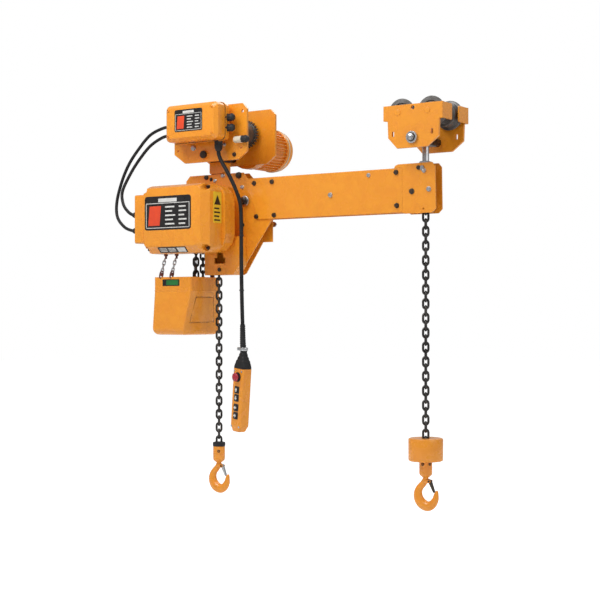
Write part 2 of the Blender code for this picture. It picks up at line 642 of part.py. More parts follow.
def gearbox(body):
    """The gear case, the panel that closes it, and the electrical cover in front."""
    wall = 0.005
    x0, x1, z0, z1 = CASE_X0, CASE_X1, CASE_Z0, CASE_Z1
    front = COVER_BACK + 0.006
    case = lofted([
        ring_at(x0 + wall, x1 - wall, z0 + wall, z1 - wall, 0.052, CASE_BACK - wall),
        ring_at(x0 + wall, x1 - wall, z0 + wall, z1 - wall, 0.052, front + GAP),
        ring_at(x0, x1, z0, z1, 0.057, front + GAP),
        ring_at(x0, x1, z0, z1, 0.057, CASE_BACK - 0.012),
        ring_at(x0 + 0.012, x1 - 0.012, z0 + 0.012, z1 - 0.012, 0.046, CASE_BACK)])
    bores = [rod(NECK_R + GAP, CASE_BACK - 0.010, CASE_BACK + 0.005, (SHEAVE_X, SHEAVE_Z),
                 sides=20),
             rod(0.008 + GAP, CASE_BACK - 0.010, CASE_BACK - 0.002, (IDLE_X, IDLE_Z), sides=16)]
    put("gear_case", cut(case, *bores), orange(), body)
    rims = [circle(COVER_X0 + 0.028, v, 0.028, 24) for v in (COVER_Z0 + 0.028, COVER_Z1 - 0.028)]
    rims += [circle(CASE_X1 - 0.050, v, 0.050, 24) for v in (CASE_Z0 + 0.050, CASE_Z1 - 0.050)]
    panel = slab(hull(rims), COVER_BACK + GAP, front, [circle(IDLE_X, IDLE_Z, 0.008 + GAP, 16)])
    put("gear_case_panel", panel, orange(), body)

    skin, top, low = 0.003, 0.010, 0.024
    x0, x1, z0, z1 = COVER_X0, COVER_X1, COVER_Z0, COVER_Z1
    inside = (x0 + skin, x1 - skin, z0 + skin, z1 - skin, 0.025)
    cover = lofted([
        ring_at(x0 + skin + low, x1 - skin - low, z0 + skin + low, z1 - skin - top, 0.012,
                COVER_FRONT + skin),
        ring_at(*inside, COVER_FRONT + low), ring_at(*inside, COVER_BACK),
        ring_at(x0, x1, z0, z1, 0.028, COVER_BACK),
        ring_at(x0, x1, z0, z1, 0.028, COVER_FRONT + low),
        ring_at(x0 + top, x1 - low, z0 + low, z1 - top, 0.014, COVER_FRONT)])
    shoulder = slab(rounded(-0.192, -0.152, -0.320, -0.166, 0.003, 3),
                    x0 - 0.036, x0 + 0.002, place=along)
    put("electrical_cover", joined(cover, shoulder), orange(), body)


def gears(body):
    """The rotor, the intermediate gear and the hollow twin load wheel with its gear."""
    lean = -math.pi / 4
    sheave, idle = (SHEAVE_X, SHEAVE_Z), (IDLE_X, IDLE_Z)
    big_y, load_y = (-0.107, -0.092), (-0.087, -0.073)
    groove, rim, half = SHEAVE_R - 0.010, SHEAVE_R + 0.0035, 0.0125
    profile = [(ROTOR_R + 0.002, load_y[0] - 0.001), (NECK_R, load_y[0] - 0.001)]
    for middle in (-CHAIN_STEP, 0):
        profile += [(NECK_R, middle - half), (rim, middle - half), (rim, middle - 0.006),
                    (groove, middle - 0.004), (groove, middle + 0.004), (rim, middle + 0.006),
                    (rim, middle + half), (NECK_R, middle + half)]
    profile += [(NECK_R, FRAME_OUT + 0.004), (ROTOR_R + 0.002, FRAME_OUT + 0.004)]
    load = slab(gear(LOAD_TEETH, GEAR_MODULE, sheave, lean + math.pi / LOAD_TEETH), *load_y,
                [circle(*sheave, NECK_R - 0.003)])
    put("load_sheave", joined(turned(profile, sheave, closed=True), load), dark_steel(), body,
        (SHEAVE_X, 0, SHEAVE_Z))

    shaft = rod(0.008, COVER_BACK + 0.001, CASE_BACK - 0.0025, idle, sides=20)
    big = slab(gear(BIG_TEETH, GEAR_MODULE, idle, lean + math.pi + math.pi / BIG_TEETH), *big_y)
    small = slab(gear(SMALL_TEETH, GEAR_MODULE, idle, lean + math.pi), *load_y)
    put("intermediate_gear", joined(shaft, big, small), bright_steel(), body,
        (IDLE_X, 0, IDLE_Z))

    motor_y0 = FRAME_OUT + GAP
    motor_y1 = motor_y0 + MOTOR_LEN
    core_y0, core_y1, core_r = motor_y0 + 0.038, motor_y1 - 0.022, 0.048
    profile = [(0, big_y[0] - 0.001), (ROTOR_R, big_y[0] - 0.001), (ROTOR_R, core_y0),
               (core_r, core_y0), (core_r, core_y1), (ROTOR_R, core_y1),
               (ROTOR_R, motor_y1 + 0.012), (0.060, motor_y1 + 0.012),
               (0.060, motor_y1 + 0.026), (0, motor_y1 + 0.026)]
    pinion = slab(gear(ROTOR_TEETH, GEAR_MODULE, sheave, lean), *big_y)
    put("motor_rotor", joined(turned(profile, sheave), pinion), bright_steel(), body,
        (SHEAVE_X, 0, SHEAVE_Z))

    inner = MOTOR_R - 0.005
    put("motor_stator", tube(inner - GAP, core_r + 0.001, core_y0 - 0.004, core_y1 + 0.004,
                             sheave, sides=28), dark_steel(), body)
    shell = turned([(ROTOR_R + GAP, motor_y1), (MOTOR_R - 0.004, motor_y1),
                    (MOTOR_R, motor_y1 - 0.004), (MOTOR_R, motor_y0), (inner, motor_y0),
                    (inner, motor_y1 - 0.006), (ROTOR_R + GAP, motor_y1 - 0.006)],
                   sheave, sides=28, closed=True)
    put("motor_housing", shell, orange(), body)
    y0, y1 = motor_y1 + GAP, motor_y1 + 0.046
    edge = MOTOR_R + 0.001
    hood = turned([(0, y1), (edge - 0.012, y1), (edge, y1 - 0.012), (edge, y0),
                   (edge - 0.002, y0), (edge - 0.002, y1 - 0.013), (edge - 0.013, y1 - 0.002),
                   (0, y1 - 0.002)], sheave, sides=28)
    vents = []
    for k in range(6):
        turn = 2 * math.pi * k / 6
        place = (sheave[0] + 0.045 * math.cos(turn), sheave[1] + 0.045 * math.sin(turn))
        vents.append(rod(0.010, y1 - 0.010, y1 + 0.005, place, sides=10))
    put("fan_cover", cut(hood, *vents), black_plastic(), body)


def arm(body):
    """The two arm plates, the end plates and the two guide sprockets between them."""
    outline = [(ARM_X0, ARM_TOP), (ARM_X0 + 0.051, ARM_LOW), (ARM_X1, ARM_LOW), (ARM_X1, ARM_TOP)]
    spread = 0.22
    for name, side in (("front", -1), ("rear", 1)):
        y0, y1 = sorted((side * ARM_IN, side * ARM_OUT))
        hole = circle(INNER_X, SPROCKET_Z, 0.010 + GAP, 16)
        shape = outline if side < 0 else [(ARM_X0 - 0.020, ARM_TOP), (ARM_X0 - 0.020, ARM_LOW),
                                          *outline[2:]]
        plate = slab(shape, y0, y1, [hole] if side > 0 else ())
        if side > 0:
            places = [(0.320 + spread * k, z) for k in range(2) for z in (-0.134, -0.230)]
            plate = joined(plate, *(rod(0.006, -ARM_IN + GAP, ARM_IN + 0.001, place, sides=14)
                                    for place in places))
        put(f"arm_plate_{name}", plate, orange(), body)

        x1, corner = END_X1, 0.012
        end = [(ARM_X1 + GAP, END_LOW + 0.004), (ARM_X1 + 0.008, END_LOW),
               (x1 - corner, END_LOW), (x1, END_LOW + corner), (x1 - 0.002, END_TOP - corner),
               (x1 - corner, END_TOP), (ARM_X1 - 0.014, END_TOP), (ARM_X1 - 0.024, END_TOP - 0.004),
               (ARM_X1 - 0.027, ARM_TOP + GAP), (ARM_X1 + GAP, ARM_TOP + GAP)]
        holes = [circle(PLAIN_X, -0.121, 0.007 + GAP, 16),
                 circle(OUTER_X, SPROCKET_Z, 0.008 + GAP, 16),
                 circle(PLAIN_X + 0.004, -0.239, 0.003, 10)]
        plate = slab(end, y0, y1, holes)
        under = sorted((side * FRAME_IN, side * (ARM_IN - GAP)))
        splice = slab(rounded(ARM_X1 - 0.040, ARM_X1 + 0.008, ARM_LOW + 0.006, ARM_TOP - 0.006,
                              0.005, 2), *under)
        step = sorted((side * (FRAME_IN + 0.001), side * (ARM_IN + 0.001)))
        tie = slab(rounded(ARM_X1 + 0.0005, ARM_X1 + 0.007, ARM_LOW + 0.010, ARM_TOP - 0.010,
                           0.002, 2), *step)
        put(f"end_plate_{name}", joined(plate, splice, tie), orange(), body)

    for name, x in (("inner_sprocket", INNER_X), ("outer_sprocket", OUTER_X)):
        out = FRAME_OUT + 0.006 if name == "inner_sprocket" else ARM_OUT + 0.003
        rim, groove, half = SPROCKET_R + 0.003, SPROCKET_R - 0.009, 0.0125
        profile = [(0, -out), (0.008, -out), (0.008, -half), (rim, -half), (rim, -0.006),
                   (groove, -0.004), (groove, 0.004), (rim, 0.006), (rim, half), (0.008, half),
                   (0.008, out), (0, out)]
        put(name, turned(profile, (x, SPROCKET_Z)), dark_steel(), body, (x, 0, SPROCKET_Z))


def container(body):
    """The open bin that the slack ends of both chains pile up in."""

    def ring(inset, z, bulge=0.0, taper=0.0):
        outline = rounded(BIN_X0 + inset, BIN_X1 - inset, BIN_Y0 + inset, BIN_Y1 - inset,
                          0.012 - 0.5 * inset, 3)
        points = []
        for x, y in outline:
            front = (BIN_Y1 - y) / (BIN_Y1 - BIN_Y0)
            right = (x - BIN_X0) / (BIN_X1 - BIN_X0)
            points.append(Vector((x - taper * right * front, y - bulge * front, z)))
        return points

    crease, w = BIN_CREASE, BIN_WALL
    low_bulge, knee = BIN_BULGE - 0.002, BIN_LOW + 0.016
    mesh = lofted([
        ring(w + 0.012, BIN_LOW + w, low_bulge, BIN_TAPER),
        ring(w, knee + w, BIN_BULGE, BIN_TAPER), ring(w, crease), ring(w, BIN_TOP),
        ring(0, BIN_TOP), ring(0, crease), ring(0, knee, BIN_BULGE, BIN_TAPER),
        ring(0.014, BIN_LOW, low_bulge, BIN_TAPER)])
    put("chain_container", mesh, orange(), body)


# ---------------------------------------------------------------- hooks
def hook_set(name, x, y, top, body):
    """A hook block, its swivelling hook and the spring latch across the hook's mouth."""
    drum = name == "right"
    block_top = top - RIGHT_DRUM_T if drum else top - 0.014
    low = HOOK_SHOULDER_Z
    r = HOOK_BLOCK_R
    head_r, bore = SHANK_R + 0.004, SHANK_R + GAP
    cap_r = RIGHT_DRUM_R if drum else LEFT_CAP_R
    profile = [(0, top), (cap_r, top), (cap_r, block_top), (r, block_top), (r, low + 0.010),
               (r - 0.005, low), (bore, low), (bore, low + 0.009), (head_r + GAP, low + 0.009),
               (head_r + GAP, low + 0.026), (0, low + 0.026)]
    put(f"{name}_hook_block", turned(profile, (x, y), level), orange(), body, (x, y, top))

    put(f"{name}_hook", hook_mesh(x, y, low), orange(), body, (x, y, low))
    pivot = LATCH_PIVOT
    latch = slab(belt(pivot, 0.0045, (0.0275, -0.0445), 0.0018), -0.0042, 0.0042,
                 [circle(*pivot, 0.0025, 12)])
    latch.transform(Matrix.Translation((x, y, low)))
    put(f"{name}_latch", latch, bright_steel(), body, (x + pivot[0], y, low + pivot[1]))


def hook_mesh(x, y, low):
    """A forged hook below its shoulder, with its swivel head and the lugs of its latch."""
    head_r = SHANK_R + 0.004
    route = [(0, 0.008), (0, -0.006), (-0.004, -0.018), (-0.016, -0.030), (-0.025, -0.046),
             (-0.024, -0.064), (-0.012, -0.080), (0.006, -0.087), (0.022, -0.080),
             (0.031, -0.066), (0.034, -0.050), (0.036, -0.041)]
    radii = [0.0066, 0.0071, 0.0085, 0.0095, 0.0115, 0.0140, 0.0155, 0.0145, 0.0125, 0.0100,
             0.0070, 0.0030]
    bowl = swept([Vector((u, 0, v)) for u, v in route], radii, 12, 0.85)
    head = rod(head_r, 0.009 + GAP, 0.026 - GAP, (0, 0), level)
    stem = rod(SHANK_R, 0.002, 0.020, (0, 0), level)
    lugs = [slab(belt((0.001, -0.012), 0.004, LATCH_PIVOT, 0.005),
                 *sorted((side * 0.0045, side * 0.0075))) for side in (-1, 1)]
    pin = rod(0.0022, -0.006, 0.006, LATCH_PIVOT, sides=12)
    hook = joined(bowl, stem, head, *lugs, pin)
    hook.transform(Matrix.Translation((x, y, low)))
    return hook


def load_chains(body):
    """The hanging stretch of each load chain, as the square bar that its links fill."""
    half = CHAIN_D * 1.1
    for name, x, y, high, low in (
            ("load_chain_left", LEFT_CHAIN_X, -CHAIN_STEP, GUIDE_Z0 - 0.002, LEFT_CAP_TOP),
            ("load_chain_right", PLAIN_X, 0, END_LOW - 0.002, RIGHT_DRUM_TOP)):
        outline = [(x - half, y - half), (x + half, y - half), (x + half, y + half),
                   (x - half, y + half)]
        put(name, slab(outline, low + GAP, high, place=level), dark_steel(), body)


# ---------------------------------------------------------------- pendant and cables
def pendant(body):
    """The handset: shell, boot, four buttons and a stop knob, on a cord from the box."""
    turn = Euler((0, PENDANT_LEAN, PENDANT_YAW))
    pose = Matrix.Translation(PENDANT_TOP) @ turn.to_matrix().to_4x4()
    half_w, d, length = PENDANT_W / 2, PENDANT_D, PENDANT_L
    front = -d / 2

    def moved(mesh):
        mesh.transform(pose)
        return mesh

    def section(w, y0, y1, z, corner=0.006):
        return [level(u, v, z) for u, v in rounded(-w, w, y0, y1, corner, 3)]

    w = PENDANT_WALL
    shell = lofted([
        section(half_w - w - 0.004, front + w, d / 2 - w - 0.002, -length + w, 0.003),
        section(half_w - w, front + w, d / 2 - w, -0.002, 0.003),
        section(half_w, front, d / 2, 0, 0.006),
        section(half_w, front, d / 2, -length + 0.018),
        section(half_w - 0.008, front + 0.003, d / 2 - 0.006, -length)])
    rows = [-0.066, -0.091, -0.121, -0.146]
    knob_z = -0.026
    holes = [rod(BUTTON_R + GAP, front - 0.01, front + w + 0.004, (0, z))
             for z in rows]
    holes.append(rod(0.006 + GAP, front - 0.01, front + w + 0.004, (0, knob_z)))
    put("pendant_shell", moved(cut(shell, *holes)), orange(), body)

    for name, z in zip(("up", "down", "left", "right"), rows):
        profile = [(0, front - 0.004), (BUTTON_R - 0.001, front - 0.004),
                   (BUTTON_R, front - 0.003), (BUTTON_R, front + w + GAP),
                   (BUTTON_R + 0.002, front + w + GAP), (BUTTON_R + 0.002, front + w + 0.003),
                   (0, front + w + 0.003)]
        mesh = moved(turned(profile, (0, z), sides=16))
        put(f"{name}_button", mesh, black_plastic(), body, pose @ Vector((0, front, z)), turn)
    profile = [(0, front - 0.016), (STOP_R - 0.003, front - 0.016), (STOP_R, front - 0.013),
               (STOP_R, front - 0.008), (0.006, front - 0.007), (0.006, front + w + GAP),
               (0.009, front + w + GAP), (0.009, front + w + 0.003), (0, front + w + 0.003)]
    mesh = moved(turned(profile, (0, knob_z), sides=20))
    red = paint("stop_red", (0.45, 0.02, 0.03), 0.35)
    put("emergency_stop", mesh, red, body, pose @ Vector((0, front, knob_z)), turn)

    sleeve_r = 0.0095
    mouth = [level(u, v, GAP) for u, v in rounded(-half_w, half_w, front, d / 2, 0.006, 3)]
    boot = lofted([mouth, [p + Vector((0, 0, 0.012)) for p in mouth],
                   [level(0.6 * p.x, 0.7 * p.y, 0.046) for p in mouth],
                   [level(0.40 * p.x, 0.55 * p.y, 0.058) for p in mouth]])
    sleeve_low = pose @ Vector((0, 0, 0.050))
    sleeve = swept([sleeve_low, Vector((0.1580, -0.090, -0.630)), Vector((0.1570, -0.090, -0.576))],
                   [sleeve_r] * 3, 16)
    put("pendant_boot", joined(moved(boot), sleeve), black_plastic(), body)
    route = [(0.077, -0.108, BOX_Z0 - 0.024 - GAP), (0.078, -0.108, -0.046),
             (0.089, -0.107, -0.070), (0.110, -0.104, -0.104), (0.131, -0.099, -0.146),
             (0.148, -0.094, -0.192), (0.152, -0.091, -0.240), (0.152, -0.090, -0.340),
             (0.153, -0.090, -0.440), (0.155, -0.090, -0.520), (0.1570, -0.090, -0.576 + GAP)]
    put_cord("pendant_cord", route, CORD_D, black_plastic(), body)


def motor_cables(body):
    """The two cables from the trolley's control box to the hoist's electrical cover."""
    start_x, start_y = BOX_X0 - 0.014 - SWIVEL_ROOM, (BOX_SPLIT + BOX_BACK) / 2 + 0.001
    end_x = COVER_X0 - 0.036 - 2 * GAP
    outer = [(start_x, start_y, 0.054), (-0.145, -0.109, 0.053), (-0.198, -0.112, 0.034),
             (-0.241, -0.118, -0.008), (-0.274, -0.128, -0.056), (-0.296, -0.138, -0.112),
             (-0.307, -0.150, -0.178), (-0.296, -0.160, -0.229), (-0.258, -0.168, -0.264),
             (-0.218, -0.172, -0.2775), (end_x, -0.172, -0.278)]
    inner = [(start_x, start_y, 0.026), (-0.145, -0.109, 0.024), (-0.196, -0.112, 0.000),
             (-0.237, -0.118, -0.041), (-0.268, -0.128, -0.088), (-0.285, -0.148, -0.146),
             (-0.271, -0.160, -0.188), (-0.243, -0.168, -0.215), (-0.216, -0.172, -0.2275),
             (end_x, -0.172, -0.228)]
    put_cord("motor_cable_outer", outer, MOTOR_CABLE_D, black_plastic(), body)
    put_cord("motor_cable_inner", inner, MOTOR_CABLE_D, black_plastic(), body)


def main():
    for item in list(bpy.data.objects):
        bpy.data.objects.remove(item)
    trolley = frame_at("drive_trolley", (0, 0, 0))
    hoist = frame_at("hoist", (0, 0, 0))
    far = frame_at("plain_trolley", (PLAIN_X, 0, 0))
    drive_trolley(trolley)
    control_box(trolley)
    pendant(trolley)
    suspension(hoist)
    frame(hoist)
    chain_guide(hoist)
    gearbox(hoist)
    gears(hoist)
    arm(hoist)
    container(hoist)
    load_chains(hoist)
    motor_cables(hoist)
    hook_set("left", LEFT_CHAIN_X, -CHAIN_STEP, LEFT_CAP_TOP, hoist)
    hook_set("right", PLAIN_X, 0, RIGHT_DRUM_TOP, hoist)
    plain_trolley(far)


main()
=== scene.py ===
"""Looks of a twin-hook electric chain hoist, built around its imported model.

Metres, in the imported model's own frame: X along the beam, +Y away from the control boxes, +Z up.
"""
import math

import bmesh
import bpy
from bpy.props import FloatProperty, FloatVectorProperty, IntProperty, PointerProperty
from bpy.types import Operator, Panel, PropertyGroup
from mathutils import Euler, Matrix, Vector


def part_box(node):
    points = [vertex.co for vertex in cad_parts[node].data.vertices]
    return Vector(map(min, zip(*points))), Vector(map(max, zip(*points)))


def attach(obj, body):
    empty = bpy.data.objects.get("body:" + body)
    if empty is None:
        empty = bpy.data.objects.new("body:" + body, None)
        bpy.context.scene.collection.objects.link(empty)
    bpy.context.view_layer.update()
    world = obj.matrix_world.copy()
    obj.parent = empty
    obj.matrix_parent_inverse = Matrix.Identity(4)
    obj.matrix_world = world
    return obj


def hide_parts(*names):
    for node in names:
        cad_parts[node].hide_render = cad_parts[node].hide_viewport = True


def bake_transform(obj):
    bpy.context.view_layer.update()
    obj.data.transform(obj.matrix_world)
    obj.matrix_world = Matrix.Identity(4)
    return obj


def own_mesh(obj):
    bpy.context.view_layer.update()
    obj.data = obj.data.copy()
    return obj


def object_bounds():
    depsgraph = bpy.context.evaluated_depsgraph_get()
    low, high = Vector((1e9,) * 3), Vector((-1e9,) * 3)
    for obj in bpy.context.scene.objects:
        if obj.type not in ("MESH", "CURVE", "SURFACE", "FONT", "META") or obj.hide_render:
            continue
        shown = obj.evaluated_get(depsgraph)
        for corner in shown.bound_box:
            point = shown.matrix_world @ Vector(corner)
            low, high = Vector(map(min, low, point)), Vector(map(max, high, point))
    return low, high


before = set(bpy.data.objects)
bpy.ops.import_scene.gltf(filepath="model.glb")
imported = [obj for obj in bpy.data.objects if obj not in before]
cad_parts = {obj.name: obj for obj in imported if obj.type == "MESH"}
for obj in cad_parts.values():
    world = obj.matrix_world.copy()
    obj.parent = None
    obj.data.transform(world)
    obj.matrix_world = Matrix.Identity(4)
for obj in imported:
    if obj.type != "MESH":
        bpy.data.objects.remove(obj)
CAD_BOX = [list(corner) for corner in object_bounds()]

bl_info = {
    "name": "Twin Hook Chain Hoist",
    "version": (1, 0, 0),
    "blender": (4, 5, 0),
    "location": "3D View > Sidebar > Chain Hoist",
    "description": "Dresses the packed model of a twin-hook electric chain hoist",
    "category": "Add Mesh",
}

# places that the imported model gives
BOX_LOW, BOX_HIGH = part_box("control_box_lid")
COVER_LOW, COVER_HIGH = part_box("electrical_cover")
BIN_LOW, BIN_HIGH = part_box("chain_container")
GUIDE_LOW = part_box("chain_guide_box")[0]
LEFT_CHAIN_LOW, LEFT_CHAIN_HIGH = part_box("load_chain_left")
RIGHT_CHAIN_LOW, RIGHT_CHAIN_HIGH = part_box("load_chain_right")
LEFT_CHAIN = (LEFT_CHAIN_LOW + LEFT_CHAIN_HIGH) / 2
RIGHT_CHAIN = (RIGHT_CHAIN_LOW + RIGHT_CHAIN_HIGH) / 2
SHEAVE_LOW, SHEAVE_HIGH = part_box("motor_stator")
SHEAVE = (SHEAVE_LOW + SHEAVE_HIGH) / 2
TRAVEL_LOW, TRAVEL_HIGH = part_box("trolley_motor_housing")
TRAVEL = (TRAVEL_LOW + TRAVEL_HIGH) / 2
FAR_X = RIGHT_CHAIN.x

# places and travels that several pieces share
PLATE_Y = 0.0173             # frame plates, outer face
ARM_Y = 0.0216               # arm and end plates, outer face
SIDE_Y = 0.080               # trolley side plates, outer face
AXLE_Z = 0.035
SHAFT_Z = -0.039
HOOK_Z = -1.012              # the hooks' shoulders
CHAIN_TURN = math.radians(34)          # the way the hanging links face
GLAND_Y = -0.108
GLAND_BOX = 0.036            # how far the cable glands' box reaches out of the cover

# the free cords' routes
PENDANT_ROUTE = [
    (0.077, -0.108, -0.0273), (0.078, -0.108, -0.046), (0.089, -0.107, -0.070),
    (0.110, -0.104, -0.104), (0.131, -0.099, -0.146), (0.148, -0.094, -0.192),
    (0.152, -0.091, -0.240), (0.152, -0.090, -0.340), (0.153, -0.090, -0.440),
    (0.155, -0.090, -0.520), (0.1570, -0.090, -0.5757)]
OUTER_ROUTE = [
    (-0.1093, -0.108, 0.054), (-0.145, -0.109, 0.053), (-0.198, -0.112, 0.034),
    (-0.241, -0.118, -0.008), (-0.274, -0.128, -0.056), (-0.296, -0.138, -0.112),
    (-0.307, -0.150, -0.178), (-0.296, -0.160, -0.229), (-0.258, -0.168, -0.264),
    (-0.218, -0.172, -0.2775), (-0.1966, -0.172, -0.278)]
INNER_ROUTE = [
    (-0.1093, -0.108, 0.026), (-0.145, -0.109, 0.024), (-0.196, -0.112, 0.000),
    (-0.237, -0.118, -0.041), (-0.268, -0.128, -0.088), (-0.285, -0.148, -0.146),
    (-0.271, -0.160, -0.188), (-0.243, -0.168, -0.215), (-0.216, -0.172, -0.2275),
    (-0.1966, -0.172, -0.228)]
HANDSET = Matrix.Translation((0.1575, -0.090, -0.712)) @ Euler(
    (0, math.radians(5), math.radians(-15))).to_matrix().to_4x4()


# ---------------------------------------------------------------- settings
def colour_setting(name, description, default):
    return FloatVectorProperty(name=name, description=description, subtype="COLOR", size=3,
                               min=0.0, max=1.0, default=default)


def length_setting(name, description, default):
    return FloatProperty(name=name, description=description, unit="LENGTH", min=0.0,
                         precision=4, default=default)


class HoistColours(PropertyGroup):
    enamel: colour_setting("Enamel", "Orange stove enamel", (0.90, 0.335, 0.022))
    deep: colour_setting("Enamel shade", "Thicker enamel, a little redder", (0.87, 0.305, 0.018))
    chain: colour_setting("Chain", "Blackened and oiled chain", (0.035, 0.033, 0.032))
    zinc: colour_setting("Zinc", "Bright zinc plating", (0.62, 0.63, 0.64))
    burnished: colour_setting("Burnished", "Dark burnished bolts", (0.045, 0.035, 0.03))
    rubber: colour_setting("Rubber", "Cable sheath", (0.012, 0.012, 0.013))
    plastic: colour_setting("Plastic", "Black moulded parts", (0.022, 0.022, 0.024))
    knob: colour_setting("Stop knob", "Red of the stop button", (0.46, 0.012, 0.035))
    print_red: colour_setting("Label red", "Block on the rating plates", (0.80, 0.075, 0.02))


class HoistSizes(PropertyGroup):
    chain_wire: length_setting("Chain wire", "Wire of the load chain", 0.0071)
    chain_pitch: length_setting("Chain pitch", "Inside length of a link", 0.021)
    chain_width: length_setting("Link width", "Outside width of a link", 0.0225)
    pendant_cord: length_setting("Pendant cord", "Diameter of the pendant's cord", 0.012)
    motor_cable: length_setting("Motor cable", "Diameter of the hoist's cables", 0.010)
    motor_fins: IntProperty(name="Motor fins", description="Cooling fins round the motor",
                            default=44, min=8, max=90)


class HoistStage(PropertyGroup):
    camera: FloatVectorProperty(name="Camera", description="Place of the camera",
                                subtype="TRANSLATION", unit="LENGTH",
                                default=(2.554, -3.326, -0.531))
    azimuth: FloatProperty(name="Azimuth", description="Angle round the hoist",
                           subtype="ANGLE", default=math.radians(34))
    lens: FloatProperty(name="Lens", description="Focal length", unit="CAMERA", default=78.0)
    sky: FloatProperty(name="Sky", description="Strength of the white surroundings",
                       default=0.42, min=0.0)
    key: FloatProperty(name="Key light", description="Power of the large soft light",
                       unit="POWER", default=42.0, min=0.0)


# ---------------------------------------------------------------- shapes
def upright(u, v, depth):
    """The point at (u, v) across a shape that is drawn along Y."""
    return Vector((u, depth, v))


def level(u, v, depth):
    """The point at (u, v) across a shape that is drawn along Z."""
    return Vector((u, v, depth))


def along(u, v, depth):
    """The point at (u, v) across a shape that is drawn along X."""
    return Vector((depth, u, v))


class Shape:
    """Points and faces that become one piece, each face with its own finish."""

    def __init__(self):
        self.points, self.faces, self.finishes = [], [], []

    def add(self, part, finish=0, pose=None):
        points, faces = part
        base = len(self.points)
        self.points += [pose @ Vector(p) for p in points] if pose else list(points)
        self.faces += [[base + i for i in face] for face in faces]
        self.finishes += [finish] * len(faces)
        return self


def lofted(rings, capped=True, closed=False):
    """A skin through rings of equally many points."""
    count = len(rings[0])
    points = [p for ring in rings for p in ring]
    faces = []
    for row in range(len(rings) - (0 if closed else 1)):
        after = (row + 1) % len(rings)
        for i in range(count):
            j = (i + 1) % count
            faces.append([row * count + i, row * count + j, after * count + j,
                          after * count + i])
    if capped and not closed:
        faces.append(list(range(count)))
        faces.append(list(range(len(points) - count, len(points))))
    return points, faces


def turned(profile, centre=(0, 0), place=level, sides=32, closed=False):
    """A profile of (radius, depth) turned round the axis through centre."""
    rings = []
    for radius, depth in profile:
        radius = max(radius, 1e-5)
        rings.append([place(centre[0] + radius * math.cos(t), centre[1] + radius * math.sin(t),
                            depth) for t in (2 * math.pi * k / sides for k in range(sides))])
    return lofted(rings, closed=closed)


def rounded(u0, u1, v0, v1, radius, steps=4):
    """A rectangle with round corners."""
    outline = []
    for u, v, start in ((u1, v1, 0), (u0, v1, 90), (u0, v0, 180), (u1, v0, 270)):
        cu = u - math.copysign(radius, u - (u0 + u1) / 2)
        cv = v - math.copysign(radius, v - (v0 + v1) / 2)
        for k in range(steps + 1):
            turn = math.radians(start + 90 * k / steps)
            outline.append((cu + radius * math.cos(turn), cv + radius * math.sin(turn)))
    return outline


def inset(outline, distance):
    """The outline moved inwards, for an outline that runs anticlockwise."""
    result = []
    count = len(outline)
    for i, corner in enumerate(outline):
        here = Vector(corner)
        before, after = Vector(outline[i - 1]), Vector(outline[(i + 1) % count])
        first, second = (here - before).normalized(), (after - here).normalized()
        normal = (Vector((-first.y, first.x)) + Vector((-second.y, second.x))).normalized()
        spread = max(0.5, normal.dot(Vector((-first.y, first.x))))
        result.append(tuple(here + normal * distance / spread))
    return result


def plate(outline, low, high, place=upright, bevel=0.0006):
    """A plate with softened edges."""
    small = inset(outline, bevel)
    rings = [[place(u, v, low) for u, v in small],
             [place(u, v, low + bevel) for u, v in outline],
             [place(u, v, high - bevel) for u, v in outline],
             [place(u, v, high) for u, v in small]]
    return lofted(rings)


def smooth(route, spacing):
    """Points about 'spacing' apart on a smooth curve through the route."""
    dots = [Vector(p) for p in route]
    ends = [2 * dots[0] - dots[1], *dots, 2 * dots[-1] - dots[-2]]
    path = []
    for a, b, c, d in zip(ends, ends[1:], ends[2:], ends[3:]):
        steps = max(1, round((c - b).length / spacing))
        for k in range(steps):
            t = k / steps
            path.append(0.5 * (2 * b + (c - a) * t + (2 * a - 5 * b + 4 * c - d) * t ** 2
                               + (3 * b - a - 3 * c + d) * t ** 3))
    return path + [dots[-1]]


def swept(path, radii, sides=12, squeeze=1.0, closed=False):
    """A bar along a path, whose section turns as little as it can."""
    if isinstance(radii, float):
        radii = [radii] * len(path)
    count = len(path)
    rings, side = [], None
    for i, (point, radius) in enumerate(zip(path, radii)):
        if closed:
            ahead = (path[(i + 1) % count] - path[i - 1]).normalized()
        else:
            ahead = (path[min(i + 1, count - 1)] - path[max(i - 1, 0)]).normalized()
        if side is None:
            side = ahead.orthogonal().normalized()
            if abs(ahead.y) < 0.9:
                side = ahead.cross(Vector((0, 1, 0))).normalized()
        side = (side - ahead * side.dot(ahead)).normalized()
        across = ahead.cross(side)
        rings.append([point + radius * (side * math.cos(t) + across * squeeze * math.sin(t))
                      for t in (2 * math.pi * k / sides for k in range(sides))])
    return lofted(rings, closed=closed)


def facing(place, direction):
    """A pose whose +Z looks along the direction."""
    turn = Vector(direction).to_track_quat("Z", "Y").to_matrix().to_4x4()
    return Matrix.Translation(place) @ turn


def add_piece(name, shape, finishes, body, angle=35.0):
    """One piece of the shape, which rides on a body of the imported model."""
    if not isinstance(finishes, (list, tuple)):
        finishes = [finishes]
    mesh = bpy.data.meshes.new(name)
    mesh.from_pydata([tuple(p) for p in shape.points], [], shape.faces)
    mesh.polygons.foreach_set("material_index", shape.finishes)
    work = bmesh.new()
    work.from_mesh(mesh)
    bmesh.ops.remove_doubles(work, verts=work.verts, dist=1e-6)
    bmesh.ops.dissolve_degenerate(work, edges=work.edges, dist=1e-6)
    bmesh.ops.recalc_face_normals(work, faces=work.faces)
    work.to_mesh(mesh)
    work.free()
    for finish in finishes:
        mesh.materials.append(material(finish))
    mesh.shade_smooth()
    mesh.set_sharp_from_angle(angle=math.radians(angle))
    piece = bpy.data.objects.new(name, mesh)
    bpy.context.scene.collection.objects.link(piece)
    if body:
        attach(piece, body)
    return piece


